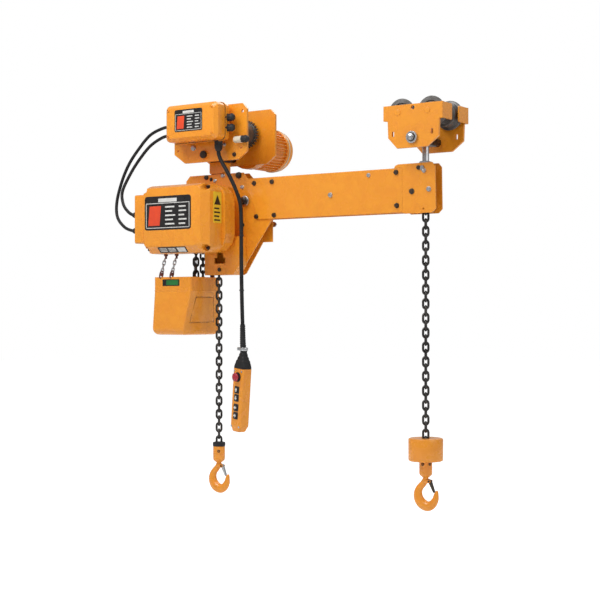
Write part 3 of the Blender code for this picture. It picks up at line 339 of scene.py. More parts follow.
# ---------------------------------------------------------------- fasteners
def hexagon(across, low, high, chamfer=0.0008):
    """A hexagon head or nut along Z, with its corners turned off."""
    corner = across / math.sqrt(3)
    rings = []
    for depth, radius in ((low, corner), (high - chamfer, corner), (high, across / 2 * 0.98)):
        ring = [(radius * math.cos(t), radius * math.sin(t), depth)
                for t in (math.pi * k / 3 for k in range(6))]
        rings.append(ring)
    return lofted(rings)


def bolt(shape, place, direction, size, finish=0, washer=True, kind="hex"):
    """A bolt head, cap screw or nut of thread diameter 'size', standing on a face."""
    pose = facing(place, direction)
    low = -0.0004
    if washer:
        thick = 0.13 * size + 0.0004
        edge = 1.05 * size
        shape.add(turned([(0, low), (edge, low), (edge, thick - 0.0003), (edge - 0.0004, thick),
                          (0, thick)], sides=28), finish, pose)
        low = thick
    if kind == "hex":
        shape.add(hexagon(1.7 * size, low, low + 0.62 * size), finish, pose)
        return
    if kind == "nut":
        top = low + 0.8 * size
        shape.add(hexagon(1.7 * size, low, top), finish, pose)
        end = top + 0.35 * size
        shape.add(turned([(0, low), (size / 2, low), (size / 2, end - 0.0008),
                          (size / 2 - 0.0008, end), (0, end)], sides=20), finish, pose)
        return
    head, top, socket = 0.78 * size, low + size, 0.42 * size
    shape.add(turned([(0, low), (head, low), (head, top - 0.0006), (head - 0.0006, top),
                      (socket, top), (socket, top - 0.5 * size), (0, top - 0.5 * size)],
                     sides=24), finish, pose)


def gland(shape, place, direction, radius, length, cord_radius, finish=0):
    """A cable gland: hexagon body, ribbed dome nut and the seal round the cord."""
    pose = facing(place, direction)
    body = 0.32 * length
    shape.add(hexagon(1.9 * radius, 0, body), finish, pose)
    shape.add(turned([(0, body - 0.001), (0.94 * radius, body - 0.001), (0.94 * radius,
                      0.72 * length), (0.78 * radius, 0.9 * length), (cord_radius + 0.0012, length),
                      (0, length)], sides=36), finish, pose)
    for k in range(12):
        turn = 2 * math.pi * k / 12
        rib = pose @ Matrix.Rotation(turn, 4, "Z") @ Matrix.Translation((0.94 * radius, 0, 0))
        shape.add(turned([(0.0011, body), (0.0011, 0.70 * length), (0.0003, 0.76 * length)],
                         sides=6), finish, rib)


def node(tree, kind, links=None, **settings):
    """A node with its settings, and its inputs given as values or as outputs to join."""
    made = tree.nodes.new(kind)
    for key, value in settings.items():
        setattr(made, key, value)
    for key, value in (links or {}).items():
        if isinstance(value, bpy.types.NodeSocket):
            tree.links.new(value, made.inputs[key])
        else:
            made.inputs[key].default_value = value
    return made


def group(name, inputs, outputs):
    """An empty shader group with named sockets, and its two end nodes."""
    tree = bpy.data.node_groups.new(name, "ShaderNodeTree")
    for label, kind, default in inputs:
        socket = tree.interface.new_socket(label, in_out="INPUT", socket_type=kind)
        socket.default_value = default
    for label, kind in outputs:
        tree.interface.new_socket(label, in_out="OUTPUT", socket_type=kind)
    return tree, tree.nodes.new("NodeGroupInput"), tree.nodes.new("NodeGroupOutput")


def grain_group():
    """Fine grain of a painted, cast or moulded skin, as a height and a value."""
    tree, given, result = group(
        "surface_grain",
        [("Scale", "NodeSocketFloat", 900.0), ("Unevenness", "NodeSocketFloat", 0.3)],
        [("Height", "NodeSocketFloat"), ("Value", "NodeSocketFloat")])
    place = node(tree, "ShaderNodeTexCoord")
    fine = node(tree, "ShaderNodeTexNoise", {"Vector": place.outputs["Object"],
                                             "Scale": given.outputs["Scale"],
                                             "Detail": 3.0, "Roughness": 0.55})
    slow = node(tree, "ShaderNodeTexNoise", {"Vector": place.outputs["Object"], "Scale": 34.0,
                                             "Detail": 2.0})
    bend = node(tree, "ShaderNodeMath", {0: slow.outputs["Fac"],
                                         1: given.outputs["Unevenness"]}, operation="MULTIPLY")
    both = node(tree, "ShaderNodeMath", {0: fine.outputs["Fac"], 1: bend.outputs[0]},
                operation="ADD")
    tree.links.new(both.outputs[0], result.inputs["Height"])
    tree.links.new(slow.outputs["Fac"], result.inputs["Value"])
    return tree


def wear_group():
    """Rubbed edges, as a mask, and the softened normal of the edges."""
    tree, given, result = group(
        "edge_wear",
        [("Radius", "NodeSocketFloat", 0.001), ("Amount", "NodeSocketFloat", 0.5),
         ("Scale", "NodeSocketFloat", 160.0)],
        [("Mask", "NodeSocketFloat"), ("Normal", "NodeSocketVector")])
    soft = node(tree, "ShaderNodeBevel", {"Radius": given.outputs["Radius"]}, samples=4)
    flat = node(tree, "ShaderNodeNewGeometry")
    turn = node(tree, "ShaderNodeVectorMath", {0: soft.outputs[0], 1: flat.outputs["Normal"]},
                operation="DOT_PRODUCT")
    edge = node(tree, "ShaderNodeMapRange", {"Value": turn.outputs["Value"], "From Min": 0.995,
                                             "From Max": 0.80, "To Min": 0.0, "To Max": 1.0})
    place = node(tree, "ShaderNodeTexCoord")
    patch = node(tree, "ShaderNodeTexNoise", {"Vector": place.outputs["Object"],
                                              "Scale": given.outputs["Scale"], "Detail": 4.0})
    gate = node(tree, "ShaderNodeMapRange", {"Value": patch.outputs["Fac"], "From Min": 0.52,
                                             "From Max": 0.66})
    worn = node(tree, "ShaderNodeMath", {0: edge.outputs[0], 1: gate.outputs[0]},
                operation="MULTIPLY")
    share = node(tree, "ShaderNodeMath", {0: worn.outputs[0], 1: given.outputs["Amount"]},
                 operation="MULTIPLY", use_clamp=True)
    tree.links.new(share.outputs[0], result.inputs["Mask"])
    tree.links.new(soft.outputs[0], result.inputs["Normal"])
    return tree


def dust_group():
    """Dust on the faces that look up, and a thin film elsewhere, as a mask."""
    tree, given, result = group(
        "dust_film",
        [("Amount", "NodeSocketFloat", 0.3), ("Scale", "NodeSocketFloat", 22.0)],
        [("Mask", "NodeSocketFloat")])
    flat = node(tree, "ShaderNodeNewGeometry")
    parts = node(tree, "ShaderNodeSeparateXYZ", {0: flat.outputs["Normal"]})
    upper = node(tree, "ShaderNodeMapRange", {"Value": parts.outputs["Z"], "From Min": 0.25,
                                              "From Max": 0.95, "To Min": 0.08, "To Max": 1.0})
    place = node(tree, "ShaderNodeTexCoord")
    cloud = node(tree, "ShaderNodeTexNoise", {"Vector": place.outputs["Object"],
                                              "Scale": given.outputs["Scale"], "Detail": 6.0,
                                              "Roughness": 0.65})
    thin = node(tree, "ShaderNodeMapRange", {"Value": cloud.outputs["Fac"], "From Min": 0.35,
                                             "From Max": 0.75})
    mask = node(tree, "ShaderNodeMath", {0: upper.outputs[0], 1: thin.outputs[0]},
                operation="MULTIPLY")
    share = node(tree, "ShaderNodeMath", {0: mask.outputs[0], 1: given.outputs["Amount"]},
                 operation="MULTIPLY", use_clamp=True)
    tree.links.new(share.outputs[0], result.inputs["Mask"])
    return tree


def scuff_group():
    """Fine drawn scratches along one direction, as a value."""
    tree, given, result = group(
        "scuffs",
        [("Stretch", "NodeSocketVector", (40.0, 40.0, 900.0)),
         ("Contrast", "NodeSocketFloat", 0.5)],
        [("Value", "NodeSocketFloat")])
    place = node(tree, "ShaderNodeTexCoord")
    scaled = node(tree, "ShaderNodeVectorMath", {0: place.outputs["Object"],
                                                 1: given.outputs["Stretch"]},
                  operation="MULTIPLY")
    lines = node(tree, "ShaderNodeTexNoise", {"Vector": scaled.outputs[0], "Scale": 1.0,
                                              "Detail": 4.0, "Roughness": 0.7})
    middle = node(tree, "ShaderNodeMath", {0: lines.outputs["Fac"], 1: 0.5},
                  operation="SUBTRACT")
    strong = node(tree, "ShaderNodeMath", {0: middle.outputs[0], 1: given.outputs["Contrast"]},
                  operation="MULTIPLY")
    tree.links.new(strong.outputs[0], result.inputs["Value"])
    return tree


def use_group(tree, name, maker, values):
    made = bpy.data.node_groups.get(name) or maker()
    placed = node(tree, "ShaderNodeGroup", node_tree=made)
    for label, value in values.items():
        placed.inputs[label].default_value = value
    return placed


def mixed(tree, mask, first, second):
    """One colour laid over another by a mask."""
    blend = node(tree, "ShaderNodeMix", data_type="RGBA")
    for index, value in ((0, mask), (6, first), (7, second)):
        if isinstance(value, bpy.types.NodeSocket):
            tree.links.new(value, blend.inputs[index])
        else:
            blend.inputs[index].default_value = (*value, 1.0) if index else value
    return blend.outputs[2]


def make_finish(name, slot, colour, second, roughness, metallic=0.0, coat=0.0, grain=900.0,
                height=0.00006, uneven=0.3, edge=0.0012, worn=0.4, under=(0.25, 0.24, 0.23),
                dust=0.25, dust_colour=(0.42, 0.39, 0.35), scuffs=0.0,
                stretch=(40.0, 40.0, 900.0), spread=0.12):
    """A finish of two close colours with grain, rubbed edges and dust."""
    surface = bpy.data.materials.new(name)
    surface.use_nodes = True
    tree = surface.node_tree
    shader = tree.nodes["Principled BSDF"]
    skin = use_group(tree, "surface_grain", grain_group, {"Scale": grain, "Unevenness": uneven})
    wear = use_group(tree, "edge_wear", wear_group, {"Radius": edge, "Amount": worn})
    film = use_group(tree, "dust_film", dust_group, {"Amount": dust})
    patch = node(tree, "ShaderNodeMapRange", {"Value": skin.outputs["Value"], "From Min": 0.35,
                                              "From Max": 0.65})
    base = mixed(tree, patch.outputs[0], colour, second)
    base = mixed(tree, wear.outputs["Mask"], base, under)
    base = mixed(tree, film.outputs["Mask"], base, dust_colour)
    tree.links.new(base, shader.inputs["Base Color"])
    low = node(tree, "ShaderNodeMapRange", {"Value": skin.outputs["Value"], "From Min": 0.3,
                                            "From Max": 0.7, "To Min": roughness - spread / 2,
                                            "To Max": roughness + spread / 2})
    rough = low.outputs[0]
    if scuffs:
        lines = use_group(tree, "scuffs", scuff_group, {"Stretch": stretch, "Contrast": scuffs})
        rough = node(tree, "ShaderNodeMath", {0: rough, 1: lines.outputs["Value"]},
                     operation="ADD", use_clamp=True).outputs[0]
    dusty = node(tree, "ShaderNodeMath", {0: film.outputs["Mask"], 1: 0.35, 2: rough},
                 operation="MULTIPLY_ADD", use_clamp=True)
    tree.links.new(dusty.outputs[0], shader.inputs["Roughness"])
    if 0 < metallic:
        bare = node(tree, "ShaderNodeMath", {0: film.outputs["Mask"], 1: -metallic, 2: metallic},
                    operation="MULTIPLY_ADD", use_clamp=True)
        tree.links.new(bare.outputs[0], shader.inputs["Metallic"])
    shader.inputs["Coat Weight"].default_value = coat
    shader.inputs["Coat Roughness"].default_value = 0.12
    shader.inputs["Specular IOR Level"].default_value = 0.25 if "black" in slot else 0.5
    bump = node(tree, "ShaderNodeBump", {"Height": skin.outputs["Height"],
                                         "Distance": height, "Strength": 1.0,
                                         "Normal": wear.outputs["Normal"]})
    tree.links.new(bump.outputs[0], shader.inputs["Normal"])
    return surface


def material(name):
    return bpy.data.materials[name]


# ---------------------------------------------------------------- pieces
class MakeFinishes(Operator):
    """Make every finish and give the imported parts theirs"""
    bl_idname = "hoist.finishes"
    bl_label = "Finishes"

    def execute(self, context):
        scene = context.scene
        hue = scene.hoist_colours
        plain = dict(worn=0.0, dust=0.08, edge=0.0006)
        make_finish("enamel", "orange_enamel", hue.enamel, hue.deep, 0.27, coat=0.35,
                    grain=420.0, height=0.00005, uneven=0.2, edge=0.0016, worn=0.35,
                    under=(0.34, 0.13, 0.03), dust=0.05, spread=0.07)
        make_finish("chain_steel", "dark_steel", hue.chain, (0.075, 0.070, 0.066), 0.36,
                    metallic=0.85, grain=700.0, height=0.0001, edge=0.0008, worn=0.5,
                    under=(0.45, 0.44, 0.42), dust=0.10, scuffs=0.3)
        make_finish("zinc", "bright_steel", hue.zinc, (0.52, 0.53, 0.55), 0.26, metallic=1.0,
                    grain=1300.0, height=0.00004, edge=0.0007, worn=0.2, dust=0.08, scuffs=0.25)
        make_finish("burnished", "dark_steel", hue.burnished, (0.09, 0.07, 0.055), 0.34,
                    metallic=0.9, grain=1100.0, height=0.00006, edge=0.0006, worn=0.45,
                    under=(0.42, 0.38, 0.34), dust=0.12)
        make_finish("machined", "dark_steel", (0.30, 0.30, 0.31), (0.20, 0.20, 0.205), 0.36,
                    metallic=0.95, grain=500.0, height=0.00008, edge=0.001, worn=0.3,
                    dust=0.2, scuffs=0.5, stretch=(30.0, 900.0, 30.0))
        make_finish("rolled_iron", "dark_steel", (0.17, 0.165, 0.16), (0.11, 0.105, 0.10), 0.45,
                    metallic=0.8, grain=260.0, height=0.0003, edge=0.001, worn=0.5,
                    under=(0.5, 0.49, 0.47), dust=0.3)
        make_finish("ground_steel", "bright_steel", (0.56, 0.56, 0.57), (0.45, 0.45, 0.46), 0.24,
                    metallic=1.0, grain=900.0, height=0.00004, edge=0.0008, worn=0.1, dust=0.1,
                    scuffs=0.5)
        make_finish("rubber", "black_rubber", hue.rubber, (0.020, 0.020, 0.021), 0.50,
                    grain=1500.0, height=0.00005, dust=0.03, worn=0.0, edge=0.0005)
        make_finish("moulded", "black_plastic", hue.plastic, (0.032, 0.032, 0.034), 0.42,
                    grain=1900.0, height=0.00008, dust=0.04, worn=0.15, edge=0.0007,
                    under=(0.12, 0.12, 0.12))
        make_finish("knob_red", "stop_red", hue.knob, (0.38, 0.010, 0.03), 0.28, coat=0.3,
                    grain=1500.0, height=0.00003, **plain)
        make_finish("cream", "white_plastic", (0.72, 0.66, 0.52), (0.66, 0.60, 0.47), 0.38,
                    grain=1200.0, height=0.00005, **plain)
        make_finish("label_black", "black_plastic", (0.014, 0.013, 0.013), (0.02, 0.018, 0.018),
                    0.30, coat=0.25, grain=2500.0, height=0.00002, **plain)
        make_finish("label_red", "orange_enamel", hue.print_red, (0.72, 0.06, 0.02), 0.36,
                    grain=2500.0, height=0.00001, **plain)
        make_finish("label_white", "white_plastic", (0.74, 0.73, 0.70), (0.66, 0.65, 0.62), 0.42,
                    grain=2500.0, height=0.00001, **plain)
        make_finish("label_grey", "white_plastic", (0.34, 0.33, 0.32), (0.28, 0.27, 0.26), 0.42,
                    grain=2500.0, height=0.00001, **plain)
        make_finish("label_green", "black_plastic", (0.025, 0.20, 0.05), (0.02, 0.15, 0.04), 0.4,
                    grain=2500.0, height=0.00001, **plain)
        make_finish("label_yellow", "orange_enamel", (0.86, 0.58, 0.03), (0.80, 0.52, 0.03), 0.38,
                    grain=2500.0, height=0.00001, **plain)
        make_finish("red_fitting", "stop_red", (0.13, 0.020, 0.013), (0.09, 0.016, 0.012), 0.36,
                    grain=800.0, height=0.00006, dust=0.1, worn=0.3, edge=0.0006)
        make_finish("winding_iron", "dark_steel", (0.10, 0.095, 0.09), (0.07, 0.065, 0.06), 0.5,
                    metallic=0.7, grain=600.0, height=0.0001, dust=0.1, scuffs=0.6,
                    stretch=(30.0, 1500.0, 30.0))
        looks = {"trolley_shaft": "burnished", "suspension_rod": "ground_steel",
                 "wheel_pinion": "machined", "drive_wheel": "rolled_iron",
                 "plain_wheel": "rolled_iron", "rotor": "ground_steel",
                 "intermediate_gear": "machined", "load_sheave": "rolled_iron",
                 "sprocket": "rolled_iron", "stator": "winding_iron", "fan_cover": "moulded",
                 "load_chain": "chain_steel", "latch": "zinc", "button": "moulded",
                 "emergency_stop": "knob_red", "boot": "moulded", "cord": "rubber",
                 "cable": "rubber"}
        for name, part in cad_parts.items():
            chosen = next((look for key, look in looks.items() if key in name), "enamel")
            part.data.materials.clear()
            part.data.materials.append(material(chosen))
            part.data.polygons.foreach_set("material_index", [0] * len(part.data.polygons))
        return {"FINISHED"}


def shell_of(low_corner, high_corner, corner, edges, steps=8):
    """A moulded cover closed at the back: edges are its left, right, low and top bevels."""
    left, right, low, top = edges
    x0, z0, x1, z1 = low_corner.x, low_corner.z, high_corner.x, high_corner.z
    front, back = low_corner.y, high_corner.y
    deepest = max(edges)
    soft = 0.10
    rings = [(0.0, back), (0.0, front + deepest * (1 + soft)), (soft * 0.3, front + deepest
             * (1 - soft)), (1 - soft, front + deepest * soft * 0.3), (1 + soft, front)]
    skins = []
    for share, depth in rings:
        radius = corner - (corner * 0.45) * min(1.0, share)
        ring = rounded(x0 + left * share, x1 - right * share, z0 + low * share,
                       z1 - top * share, radius, steps)
        skins.append([upright(u, v, depth) for u, v in ring])
    return lofted(skins)


def carve(piece, cutters):
    """Cut hollows out of a piece for good."""
    for cutter in cutters:
        step = piece.modifiers.new("cut", "BOOLEAN")
        step.operation, step.solver, step.object = "DIFFERENCE", "EXACT", cutter
        step.material_mode = "INDEX"
    graph = bpy.context.evaluated_depsgraph_get()
    made = bpy.data.meshes.new_from_object(piece.evaluated_get(graph))
    piece.modifiers.clear()
    old, name = piece.data, piece.data.name
    piece.data = made
    bpy.data.meshes.remove(old)
    made.name = name
    for cutter in cutters:
        bpy.data.objects.remove(cutter)
    made.shade_smooth()
    made.set_sharp_from_angle(angle=math.radians(35))
    return piece


def rating_plate(name, body, place, size, band=0.16):
    """A rating plate with plain blocks and bars in place of any words."""
    x, z, y = place
    width, height = size
    x0, x1, z0, z1 = x - width / 2, x + width / 2, z - height / 2, z + height / 2
    black, red, pale = Shape(), Shape(), Shape()
    black.add(plate(rounded(x0, x1, z0, z1, 0.05 * width), y - 0.0007, y + 0.0002,
                    bevel=0.0002))
    edge = 0.03 * width
    bar = (y - 0.0009, y - 0.0005)
    top = z1 - edge - band * height
    pale.add(plate(rounded(x0 + 0.30 * width, x1 - 0.30 * width, top + 0.03 * height,
                           z1 - edge - 0.02 * height, 0.001), *bar, bevel=0.0001))
    rim = 0.012 * width
    for u0, u1, v0, v1 in ((x0 + edge, x1 - edge, top - rim / 2, top + rim / 2),
                           (x0 + edge, x1 - edge, z0 + edge, z0 + edge + rim),
                           (x0 + edge, x0 + edge + rim, z0 + edge, top),
                           (x1 - edge - rim, x1 - edge, z0 + edge, top)):
        pale.add(plate([(u0, v0), (u1, v0), (u1, v1), (u0, v1)], *bar, bevel=0.0001))
    block = [(x0 + 0.08 * width, z0 + 0.13 * height), (x0 + 0.33 * width, z0 + 0.13 * height),
             (x0 + 0.36 * width, top - 0.08 * height), (x0 + 0.11 * width, top - 0.08 * height)]
    red.add(plate(block, *bar, bevel=0.0001))
    for k in range(5):
        v = z0 + (0.15 + 0.125 * k) * height
        for start, share in ((0.45, (0.20, 0.17, 0.22, 0.15, 0.20)[k]),
                             (0.74, (0.14, 0.17, 0.12, 0.16, 0.15)[k])):
            u = x0 + start * width
            pale.add(plate(rounded(u, u + share * width, v, v + 0.045 * height, 0.0008, 2),
                           *bar, bevel=0.0001))
    add_piece(f"{name}_plate", black, "label_black", body)
    add_piece(f"{name}_block", red, "label_red", body)
    add_piece(f"{name}_bars", pale, "label_white", body)


class MakeCords(Operator):
    """Make the pendant's cord and the two cables that feed the hoist"""
    bl_idname = "hoist.cords"
    bl_label = "Cords"

    def execute(self, context):
        scene = context.scene
        sizes = scene.hoist_sizes
        table = (("pendant_lead", "pendant_cord", PENDANT_ROUTE, sizes.pendant_cord, "hanging"),
                 ("hoist_lead_outer", "motor_cable_outer", OUTER_ROUTE, sizes.motor_cable,
                  "loose"),
                 ("hoist_lead_inner", "motor_cable_inner", INNER_ROUTE, sizes.motor_cable,
                  "loose"))
        for name, replaced, route, thick, lay in table:
            path = smooth(route, 0.006)
            shape = Shape().add(swept(path, thick / 2, 20))
            hung = name == "pendant_lead"
            lead = add_piece(name, shape, "rubber", "drive_trolley" if hung else None)
            if not hung:
                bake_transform(lead)
            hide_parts(replaced)
        return {"FINISHED"}


def link_path(pitch, wire, width, count=7):
    """The middle line of one chain link, which stands along Z in the XZ plane."""
    bend = (width - wire) / 2
    straight = pitch / 2 + wire / 2 - bend
    arc = [(bend * math.cos(t), straight + bend * math.sin(t))
           for t in (math.pi * k / (count - 1) for k in range(count))]
    return [Vector((u, 0, v)) for u, v in arc] + [Vector((-u, 0, -v)) for u, v in arc]


def link(sizes, scale=1.0, sides=10, count=7):
    wire = sizes.chain_wire * 0.985
    path = link_path(sizes.chain_pitch, sizes.chain_wire, sizes.chain_width, count)
    return swept([p * scale for p in path], wire / 2 * scale, sides, closed=True)


def hanging_links(shape, sizes, place, number, first_turn=0, sides=10):
    """Links hung below each other, each a quarter turn from the one above."""
    made = link(sizes, sides=sides)
    for k in range(number):
        turn = Matrix.Rotation(CHAIN_TURN + math.pi / 2 * ((k + first_turn) % 2), 4, "Z")
        pose = Matrix.Translation(Vector(place) - Vector((0, 0, k * sizes.chain_pitch)))
        shape.add(made, 0, pose @ turn)


class MakeChains(Operator):
    """Make the links of the load chains, the slack chains and the chain along the arm"""
    bl_idname = "hoist.chains"
    bl_label = "Load chains"

    def execute(self, context):
        scene = context.scene
        sizes = scene.hoist_sizes
        pitch = sizes.chain_pitch
        for side, middle, high, number in (("left", LEFT_CHAIN, -0.4004, 26),
                                           ("right", RIGHT_CHAIN, -0.2190, 32)):
            upper, lower = Shape(), Shape()
            hanging_links(upper, sizes, (middle.x, middle.y, high), number)
            last = high - (number - 1) * pitch
            hanging_links(lower, sizes, (middle.x, middle.y, last - pitch), 2, number)
            run = add_piece(f"{side}_chain_run", upper, "chain_steel", "hoist")
            tail = add_piece(f"{side}_chain_end", lower, "chain_steel", f"{side}_hook_block")
            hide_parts(f"load_chain_{side}")
            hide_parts(f"load_chain_{side}")
            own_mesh(run)
        slack = Shape()
        for y, start in ((LEFT_CHAIN.y, 0), (0.0, 1)):
            place = (2 * SHEAVE.x - LEFT_CHAIN.x, y, -0.292)
            hanging_links(slack, sizes, place, 10, start)
        add_piece("slack_chains", slack, "chain_steel", "hoist")
        heap = Shape()
        made = link(sizes, sides=8, count=5)
        middle = (BIN_LOW + BIN_HIGH) / 2
        for k in range(96):
            turn = 2.4 * k
            reach = 0.045 * math.sqrt(((k * 7) % 96) / 96)
            rise = 0.085 * (k / 96) - 0.5 * reach * (k / 96)
            place = (middle.x - 0.006 + reach * math.cos(turn),
                     middle.y + reach * math.sin(turn), BIN_LOW.z + 0.022 + rise)
            tilt = Euler((math.pi / 2 + 0.5 * math.sin(5.1 * k), 0.6 * math.cos(3.7 * k),
                          1.9 * k)).to_matrix().to_4x4()
            heap.add(made, 0, Matrix.Translation(place) @ tilt)
        add_piece("chain_heap", heap, "chain_steel", "hoist")
        across = Shape()
        inner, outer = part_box("inner_sprocket"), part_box("outer_sprocket")
        top = (inner[0].z + inner[1].z) / 2 + 0.034
        x, k = (inner[0].x + inner[1].x) / 2, 0
        while x < (outer[0].x + outer[1].x) / 2:
            pose = Matrix.Translation((x, 0, top)) @ Matrix.Rotation(math.pi / 2, 4, "Y")
            across.add(made, 0,
                       pose @ Matrix.Rotation(math.pi / 2 * (k % 2), 4, "Z"))
            x, k = x + pitch, k + 1
        add_piece("arm_chain", across, "chain_steel", "hoist")
        return {"FINISHED"}


class MakeControlBox(Operator):
    """Make the lid, glands, screws and rating plate of the trolley's control box"""
    bl_idname = "hoist.control_box"
    bl_label = "Control box"

    def execute(self, context):
        lid = Shape().add(shell_of(BOX_LOW, BOX_HIGH, 0.016, (0.012, 0.012, 0.012, 0.012)))
        lid = add_piece("box_lid", lid, "enamel", "drive_trolley")
        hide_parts("control_box_lid")
        width, height = BOX_HIGH.x - BOX_LOW.x, BOX_HIGH.z - BOX_LOW.z
        x, z = (BOX_LOW.x + BOX_HIGH.x) / 2 - 0.006, (BOX_LOW.z + BOX_HIGH.z) / 2 + 0.006
        rating_plate("box", "drive_trolley", (x, z, BOX_LOW.y), (0.53 * width, 0.60 * height))
        glands = Shape()
        for z in (0.034, 0.066):
            gland(glands, (BOX_HIGH.x + 0.0005, GLAND_Y, z), (1, 0, 0), 0.0115, 0.026, 0.004)
        for z in (0.026, 0.054):
            gland(glands, (BOX_LOW.x, GLAND_Y, z), (-1, 0, 0), 0.0098, 0.020, 0.0052)
        gland(glands, (0.077, GLAND_Y, BOX_LOW.z), (0, 0, -1), 0.0125, 0.033, 0.0062)
        add_piece("box_glands", glands, "moulded", "drive_trolley")
        screws = Shape()
        for x in (BOX_LOW.x + 0.017, BOX_HIGH.x - 0.017):
            for z in (BOX_LOW.z + 0.017, BOX_HIGH.z - 0.017):
                bolt(screws, (x, BOX_LOW.y, z), (0, -1, 0), 0.004, washer=False, kind="cap")
        add_piece("box_screws", screws, "enamel", "drive_trolley")
        seal = Shape().add(plate(rounded(BOX_LOW.x - 0.0012, BOX_HIGH.x + 0.0012,
                                         BOX_LOW.z - 0.0012, BOX_HIGH.z + 0.0012, 0.017, 8),
                                 BOX_HIGH.y - 0.0012, BOX_HIGH.y + 0.0002, bevel=0.0003))
        add_piece("box_seal", seal, "moulded", "drive_trolley")
        return {"FINISHED"}


class MakeHoistCover(Operator):
    """Make the hoist's electrical cover with its screw pockets, plates and cable glands"""
    bl_idname = "hoist.cover"
    bl_label = "Electrical cover"

    def execute(self, context):
        low = Vector((COVER_LOW.x + GLAND_BOX, COVER_LOW.y, COVER_LOW.z))
        high = COVER_HIGH
        cover = Shape().add(shell_of(low, high, 0.028, (0.010, 0.024, 0.024, 0.010), 10))
        cover = add_piece("electrical_lid", cover, "enamel", "hoist")
        pockets, screws = [], Shape()
        for x in (low.x + 0.012, high.x - 0.012):
            for z in (low.z + 0.014, high.z - 0.012):
                hole = Shape().add(turned([(0, low.y - 0.01), (0.0125, low.y - 0.01),
                                           (0.0105, -0.172), (0.0095, -0.170), (0, -0.170)],
                                          (x, z), upright, 24))
                pockets.append(add_piece("pocket", hole, "enamel", None))
                bolt(screws, (x, -0.170, z), (0, -1, 0), 0.006, kind="cap")
        carve(cover, pockets)
        side = Shape().add(plate(rounded(-0.192, -0.152, -0.320, -0.166, 0.006, 5),
                                 COVER_LOW.x, low.x + 0.004, along, 0.0025))
        for z, reach in ((-0.305, 0.005), (-0.250, 0.006), (-0.195, 0.005)):
            side.add(turned([(0, COVER_LOW.x + 0.001), (0.013, COVER_LOW.x + 0.001),
                             (0.011, COVER_LOW.x - reach), (0, COVER_LOW.x - reach)],
                            (-0.172, z), along, 28))
        side = add_piece("cable_entry", side, "enamel", "hoist")
        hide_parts("electrical_cover")
        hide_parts("electrical_cover")
        add_piece("cover_screws", screws, "burnished", "hoist")
        glands = Shape()
        for z in (-0.228, -0.278):
            gland(glands, (COVER_LOW.x + 0.0005, -0.172, z), (-1, 0, 0), 0.0095, 0.022, 0.0052)
        add_piece("cover_glands", glands, "moulded", "hoist")
        rating_plate("cover", "hoist", (-0.052, -0.228, low.y), (0.186, 0.106))
        slope = facing((-0.040, low.y + 0.0108, low.z + 0.0108), (0, -1, -1))
        slope = slope @ Matrix.Rotation(math.pi, 4, "Z")
        notice, bars = Shape(), Shape()
        notice.add(plate(rounded(-0.056, 0.056, -0.012, 0.012, 0.002), -0.0004, 0.0006, level,
                         0.0002), 0, slope)
        bars.add(plate(rounded(-0.052, -0.020, -0.009, 0.009, 0.001), 0.0004, 0.0009, level,
                       0.0001), 0, slope)
        for k in range(3):
            v = -0.0075 + 0.0055 * k
            for u in (-0.012, 0.022):
                bars.add(plate([(u, v), (u + 0.028, v), (u + 0.028, v + 0.003),
                                (u, v + 0.003)], 0.0004, 0.0009, level, 0.0001), 0, slope)
        add_piece("notice_plate", notice, "label_black", "hoist")
        add_piece("notice_bars", bars, "label_white", "hoist")
        x = high.x
        warn, marks = Shape(), Shape()
        warn.add(plate(rounded(-0.162, -0.1205, -0.262, -0.166, 0.003), x - 0.0004, x + 0.0006,
                       along, 0.0002))
        marks.add(plate([(-0.1575, -0.206), (-0.125, -0.206), (-0.1413, -0.176)], x, x + 0.001,
                        along, 0.0001))
        for k in range(4):
            v = -0.256 + 0.012 * k
            end = -0.1285 - 0.004 * (k % 2)
            marks.add(plate([(-0.1575, v), (end, v), (end, v + 0.005), (-0.1575, v + 0.005)],
                            x, x + 0.001, along, 0.0001))
        add_piece("caution_plate", warn, "label_yellow", "hoist")
        add_piece("caution_marks", marks, "label_black", "hoist")
        return {"FINISHED"}


